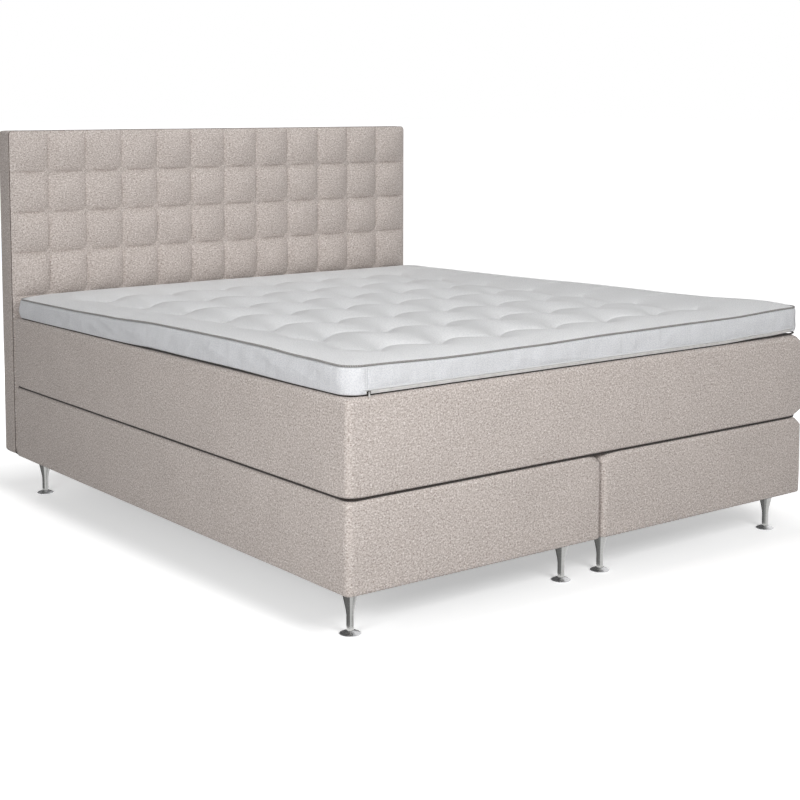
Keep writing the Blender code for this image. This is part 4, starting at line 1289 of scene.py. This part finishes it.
def flat_places():
    """The linings and the topper's underside."""
    for side in ("left", "right"):
        lining_slab(side + "_base_lining", side + "_base_dust_cover", "bed_frame", 0.006, rumpled)
    lining_slab("mattress_lining", "mattress_underside", "mattress", 0.006, level)
    hem = 0.024
    level_block(
        "topper_bottom_cloth",
        (topper_width / 2 - hem, topper_length / 2 - hem, topper_corner_radius - hem),
        0,
        0.0034,
        lit_white_ticking,
        "topper",
        ["topper_underside"],
        topper_place,
    )
    lining_slab("headboard_back_lining", "headboard_back_cloth", "bed_frame", 0.010, stood_up)


def zip_pieces():
    """Zip tape with its closed coil, and the flap over it."""
    half = bed_width / 2 - zip_corner_inset
    back = foot_y + topper_inset - seat_gap
    bm = bmesh.new()
    uv = bm.loops.layers.uv.new("cloth")
    profile = [(0, -0.0045), (0.0011, -0.0045), (0.0012, -0.0018), (0.0016, -0.0014), (0.0016, 0.0014)]
    profile += [(0.0012, 0.0018), (0.0011, 0.0045), (0, 0.0045)]
    lines = []
    places = even(-half, half, 0.02)
    for x in places:
        rise = between(front_bottom_rise, x)
        middle = topper_bottom + zip_height + rise
        lines.append([bm.verts.new((x, back - depth, middle + z)) for depth, z in profile])
    for index in range(len(places) - 1):
        for step in range(len(profile)):
            after = (step + 1) % len(profile)
            here, on = lines[index], lines[index + 1]
            face = bm.faces.new((here[step], on[step], on[after], here[after]))
            for loop in face.loops:
                loop[uv].uv = (loop.vert.co.x, loop.vert.co.z)
    bm.faces.new(lines[0])
    bm.faces.new(list(reversed(lines[-1])))
    for index in range(int(2 * half / tooth_pitch)):
        x = -half + tooth_pitch * (index + 0.5)
        tooth = bmesh.ops.create_cube(bm, size=1.0)["verts"]
        bmesh.ops.scale(bm, vec=(0.0012, 0.0010, 0.0034), verts=tooth)
        for vert in tooth:
            vert.co.x += vert.co.z * 0.45
        spot = (x, back - 0.0017, topper_bottom + zip_height + between(front_bottom_rise, x))
        bmesh.ops.translate(bm, vec=spot, verts=tooth)
    bmesh.ops.recalc_face_normals(bm, faces=bm.faces)
    piece = add_piece("topper_zip_coil", bm, flap_shaded_nylon, "topper", ["topper_zip_tape"])
    piece.data.shade_flat()

    low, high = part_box("topper_zip_flap")
    points, normals = [], []
    y, z = (low.y + high.y) / 2, (low.z + high.z) / 2
    for x in even(low.x, high.x, 0.008):
        lift = 0.0005 * noise.noise(Vector((x * 9, 4.0, 4.0))) + between(front_bottom_rise, x)
        points.append((x, y + 0.0003, z + lift))
        normals.append((0, -1, 0))
    nodes = ["topper_zip_flap"]
    piece = tube(
        "topper_zip_fold", points, normals, 0.0021, lit_white_ticking, "topper", nodes, 10, False, 0.9
    )


def carried_nodes():
    """Finishes of the CAD nodes that stay."""
    by_slot = {
        "brushed_steel": brushed,
        "polished_chrome": chrome,
        "zinc_steel": zinc,
        "timber": timber,
        "chipboard": chipboard,
        "black_plastic": black,
        "pale_foam": foam_cells,
        "spring_pockets": pocket_cloth,
        "lining_cloth": lining,
        "zip_nylon": flap_shaded_nylon,
        "slider_metal": slider_metal,
        "white_ticking": lit_white_ticking,
        "beige_cloth": beige,
        "grey_piping": cord_grey,
    }
    for part in frame["record"]["subparts"]:
        for place in frame["nodes"][part["node"]].material_slots:
            place.material = by_slot[part["material_slot"]]


# Reflection cards round each leg as (end of the card in degrees, light of its own), from the viewer's side
# and on by the right
tent_cards = ((58, 0.80), (74, 0.50), (150, 0.86), (245, 0.10), (345, 0.20), (360, 0.42))
tent_radius = 0.062
tent_height = (0.001, 0.126)
tent_steps = 72
tent_turn = 230

# Lamps as (name, place, target, size, power)
lamps = (
    ("key", (-2.2, -3.6, 1.6), (-0.6, -0.6, 0.45), (1.6, 1.4), 9.0),
    ("left", (-4.0, -2.2, 1.5), (-0.9, -0.8, 0.45), (1.6, 1.4), 73.3),
    ("side", (-3.6, 0.9, 2.4), (0.0, 0.6, 0.7), (1.4, 1.4), 6.8),
    ("front", (-0.7, -4.6, 2.8), (0.0, 0.0, 0.8), (1.8, 1.4), 118.0),
    ("above", (0.3, 0.4, 3.2), (0.1, 0.7, 0.75), (1.6, 1.6), 21.0),
    ("back", (0.4, 4.0, 1.2), (0.0, 1.0, 0.6), (2.4, 1.2), 44.0),
    ("right", (4.4, 0.6, 1.2), (0.9, 0.0, 0.4), (2.4, 1.2), 34.0),
)

plain_white = (1.0, 1.0, 1.0, 1.0)
floor_size = 90.0
world_light = 0.15

camera_place = (-3.1282, -4.1382, 1.3735)
camera_pitch = 5.520
camera_turn = -37.054
camera_lens = 69.529
camera_shift = (0.0297, -0.185)


def placed(name, data):
    """A new object of the studio."""
    obj = bpy.data.objects.new(name, data)
    bpy.context.scene.collection.objects.link(obj)
    return obj


def studio_floor():
    """White floor that glows for the camera away from the bed, and keeps the bed's shadow. The glow is weakest
    at the bed's footprint and grows with distance, faster on the left side: painted shade round the bed.
    """
    bm = bmesh.new()
    bmesh.ops.create_grid(bm, x_segments=1, y_segments=1, size=floor_size)
    mesh = bpy.data.meshes.new("studio_floor")
    bm.to_mesh(mesh)
    bm.free()
    placed("studio_floor", mesh)
    n = Nodes("studio_floor_white")
    n.tree.nodes.clear()
    paper = n.add("BsdfDiffuse", (0.80, 0.80, 0.80, 1.0)).outputs[0]
    bounce = n.add("BsdfDiffuse", (0.42, 0.42, 0.42, 1.0)).outputs[0]
    across, along, _ = n.parts(n.on_object())
    right_side = n.math("SUBTRACT", across, bed_width / 2)
    left_side = n.math("SUBTRACT", n.math("MULTIPLY", across, -1.0), bed_width / 2)
    aside = n.math("MAXIMUM", right_side, n.math("MULTIPLY", left_side, 4.5))
    ahead = n.math("SUBTRACT", n.math("ABSOLUTE", along), total_length / 2)
    away = n.math("MAXIMUM", n.math("MAXIMUM", aside, ahead), 0.0)
    # Painted shade round the bed: less glow near its footprint, narrower on the left side.
    glow = n.math("ADD", n.spread(away, 0.0, 0.3, 0.45, 0.64), n.spread(away, 0.3, 2.4, 0.0, 0.36))
    lift = n.add("Emission", plain_white, glow).outputs[0]
    both = n.add("AddShader", paper, lift).outputs[0]
    n.add("OutputMaterial", n.add("MixShader", n.seen(), bounce, both).outputs[0])
    mesh.materials.append(n.owner)


def studio_world():
    """White surround that gives the bed only a little light."""
    n = Nodes("studio_world", "worlds")
    n.tree.nodes.clear()
    ambient = n.add("Background", plain_white, world_light).outputs[0]
    shown = n.add("Background", plain_white, 1.0).outputs[0]
    n.add("OutputWorld", n.add("MixShader", n.seen(), ambient, shown).outputs[0])
    bpy.context.scene.world = n.owner


def studio_lamps():
    """Soft lamps: the front and left ones give most of the light."""
    for name, place, target, size, power in lamps:
        light = bpy.data.lights.new(name, "AREA")
        light.shape = "RECTANGLE"
        light.size, light.size_y = size
        light.energy = power
        lamp = placed(name, light)
        lamp.location = place
        lamp.rotation_euler = (Vector(target) - Vector(place)).to_track_quat("-Z", "Y").to_euler()


def card(name, strength):
    """A reflection card that gives this much light of its own."""
    n = Nodes(name)
    n.tree.nodes.clear()
    fibre = n.spread(n.noise(n.on_object(), 60.0), 0.3, 0.7, strength * 0.96, strength * 1.04)
    n.add("OutputMaterial", n.add("Emission", plain_white, fibre).outputs[0])
    return n.owner


def leg_tents():
    """A ring of cards round each leg that only its reflections see."""
    bm = bmesh.new()
    walls = []
    for step in range(tent_steps):
        angle = 2 * math.pi * step / tent_steps
        spot = (tent_radius * math.cos(angle), tent_radius * math.sin(angle))
        walls.append([bm.verts.new((*spot, z)) for z in tent_height])
    for step in range(tent_steps):
        here, on = walls[step], walls[(step + 1) % tent_steps]
        face = bm.faces.new((here[0], on[0], on[1], here[1]))
        turned = 360 * (step + 0.5) / tent_steps
        face.material_index = next(place for place, (end, _) in enumerate(tent_cards) if turned < end)
    mesh = bpy.data.meshes.new("studio_tent")
    bm.to_mesh(mesh)
    bm.free()
    for place, (_, strength) in enumerate(tent_cards):
        mesh.materials.append(card(f"studio_card_{place}", strength))
    legs = [name for name in sorted(frame["nodes"]) if name.endswith("_leg")]
    for number, name in enumerate(legs):
        low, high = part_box(name)
        tent = placed(f"studio_tent_{number}", mesh)
        tent.location = ((low.x + high.x) / 2, (low.y + high.y) / 2, 0)
        tent.rotation_euler = (0, 0, math.radians(tent_turn))
        tent.visible_camera = False
        tent.visible_diffuse = False
        tent.visible_shadow = False
        tent.visible_transmission = False


def photo_camera():
    camera = bpy.data.cameras.new("photo_camera")
    camera.lens = camera_lens
    camera.shift_x, camera.shift_y = camera_shift
    camera.clip_end = 300
    viewer = placed("photo_camera", camera)
    viewer.location = camera_place
    viewer.rotation_euler = (math.radians(90 - camera_pitch), 0, math.radians(camera_turn))
    bpy.context.scene.camera = viewer
    bpy.context.scene.view_settings.view_transform = "Standard"


carried_nodes()
bases_and_mattress()
topper_border()
topper_piping()
seam_shadow_cords()
quilted_top()
headboard_front()
headboard_edges()
flat_places()
inner_pads()
zip_pieces()
studio_floor()
studio_world()
studio_lamps()
leg_tents()
photo_camera()
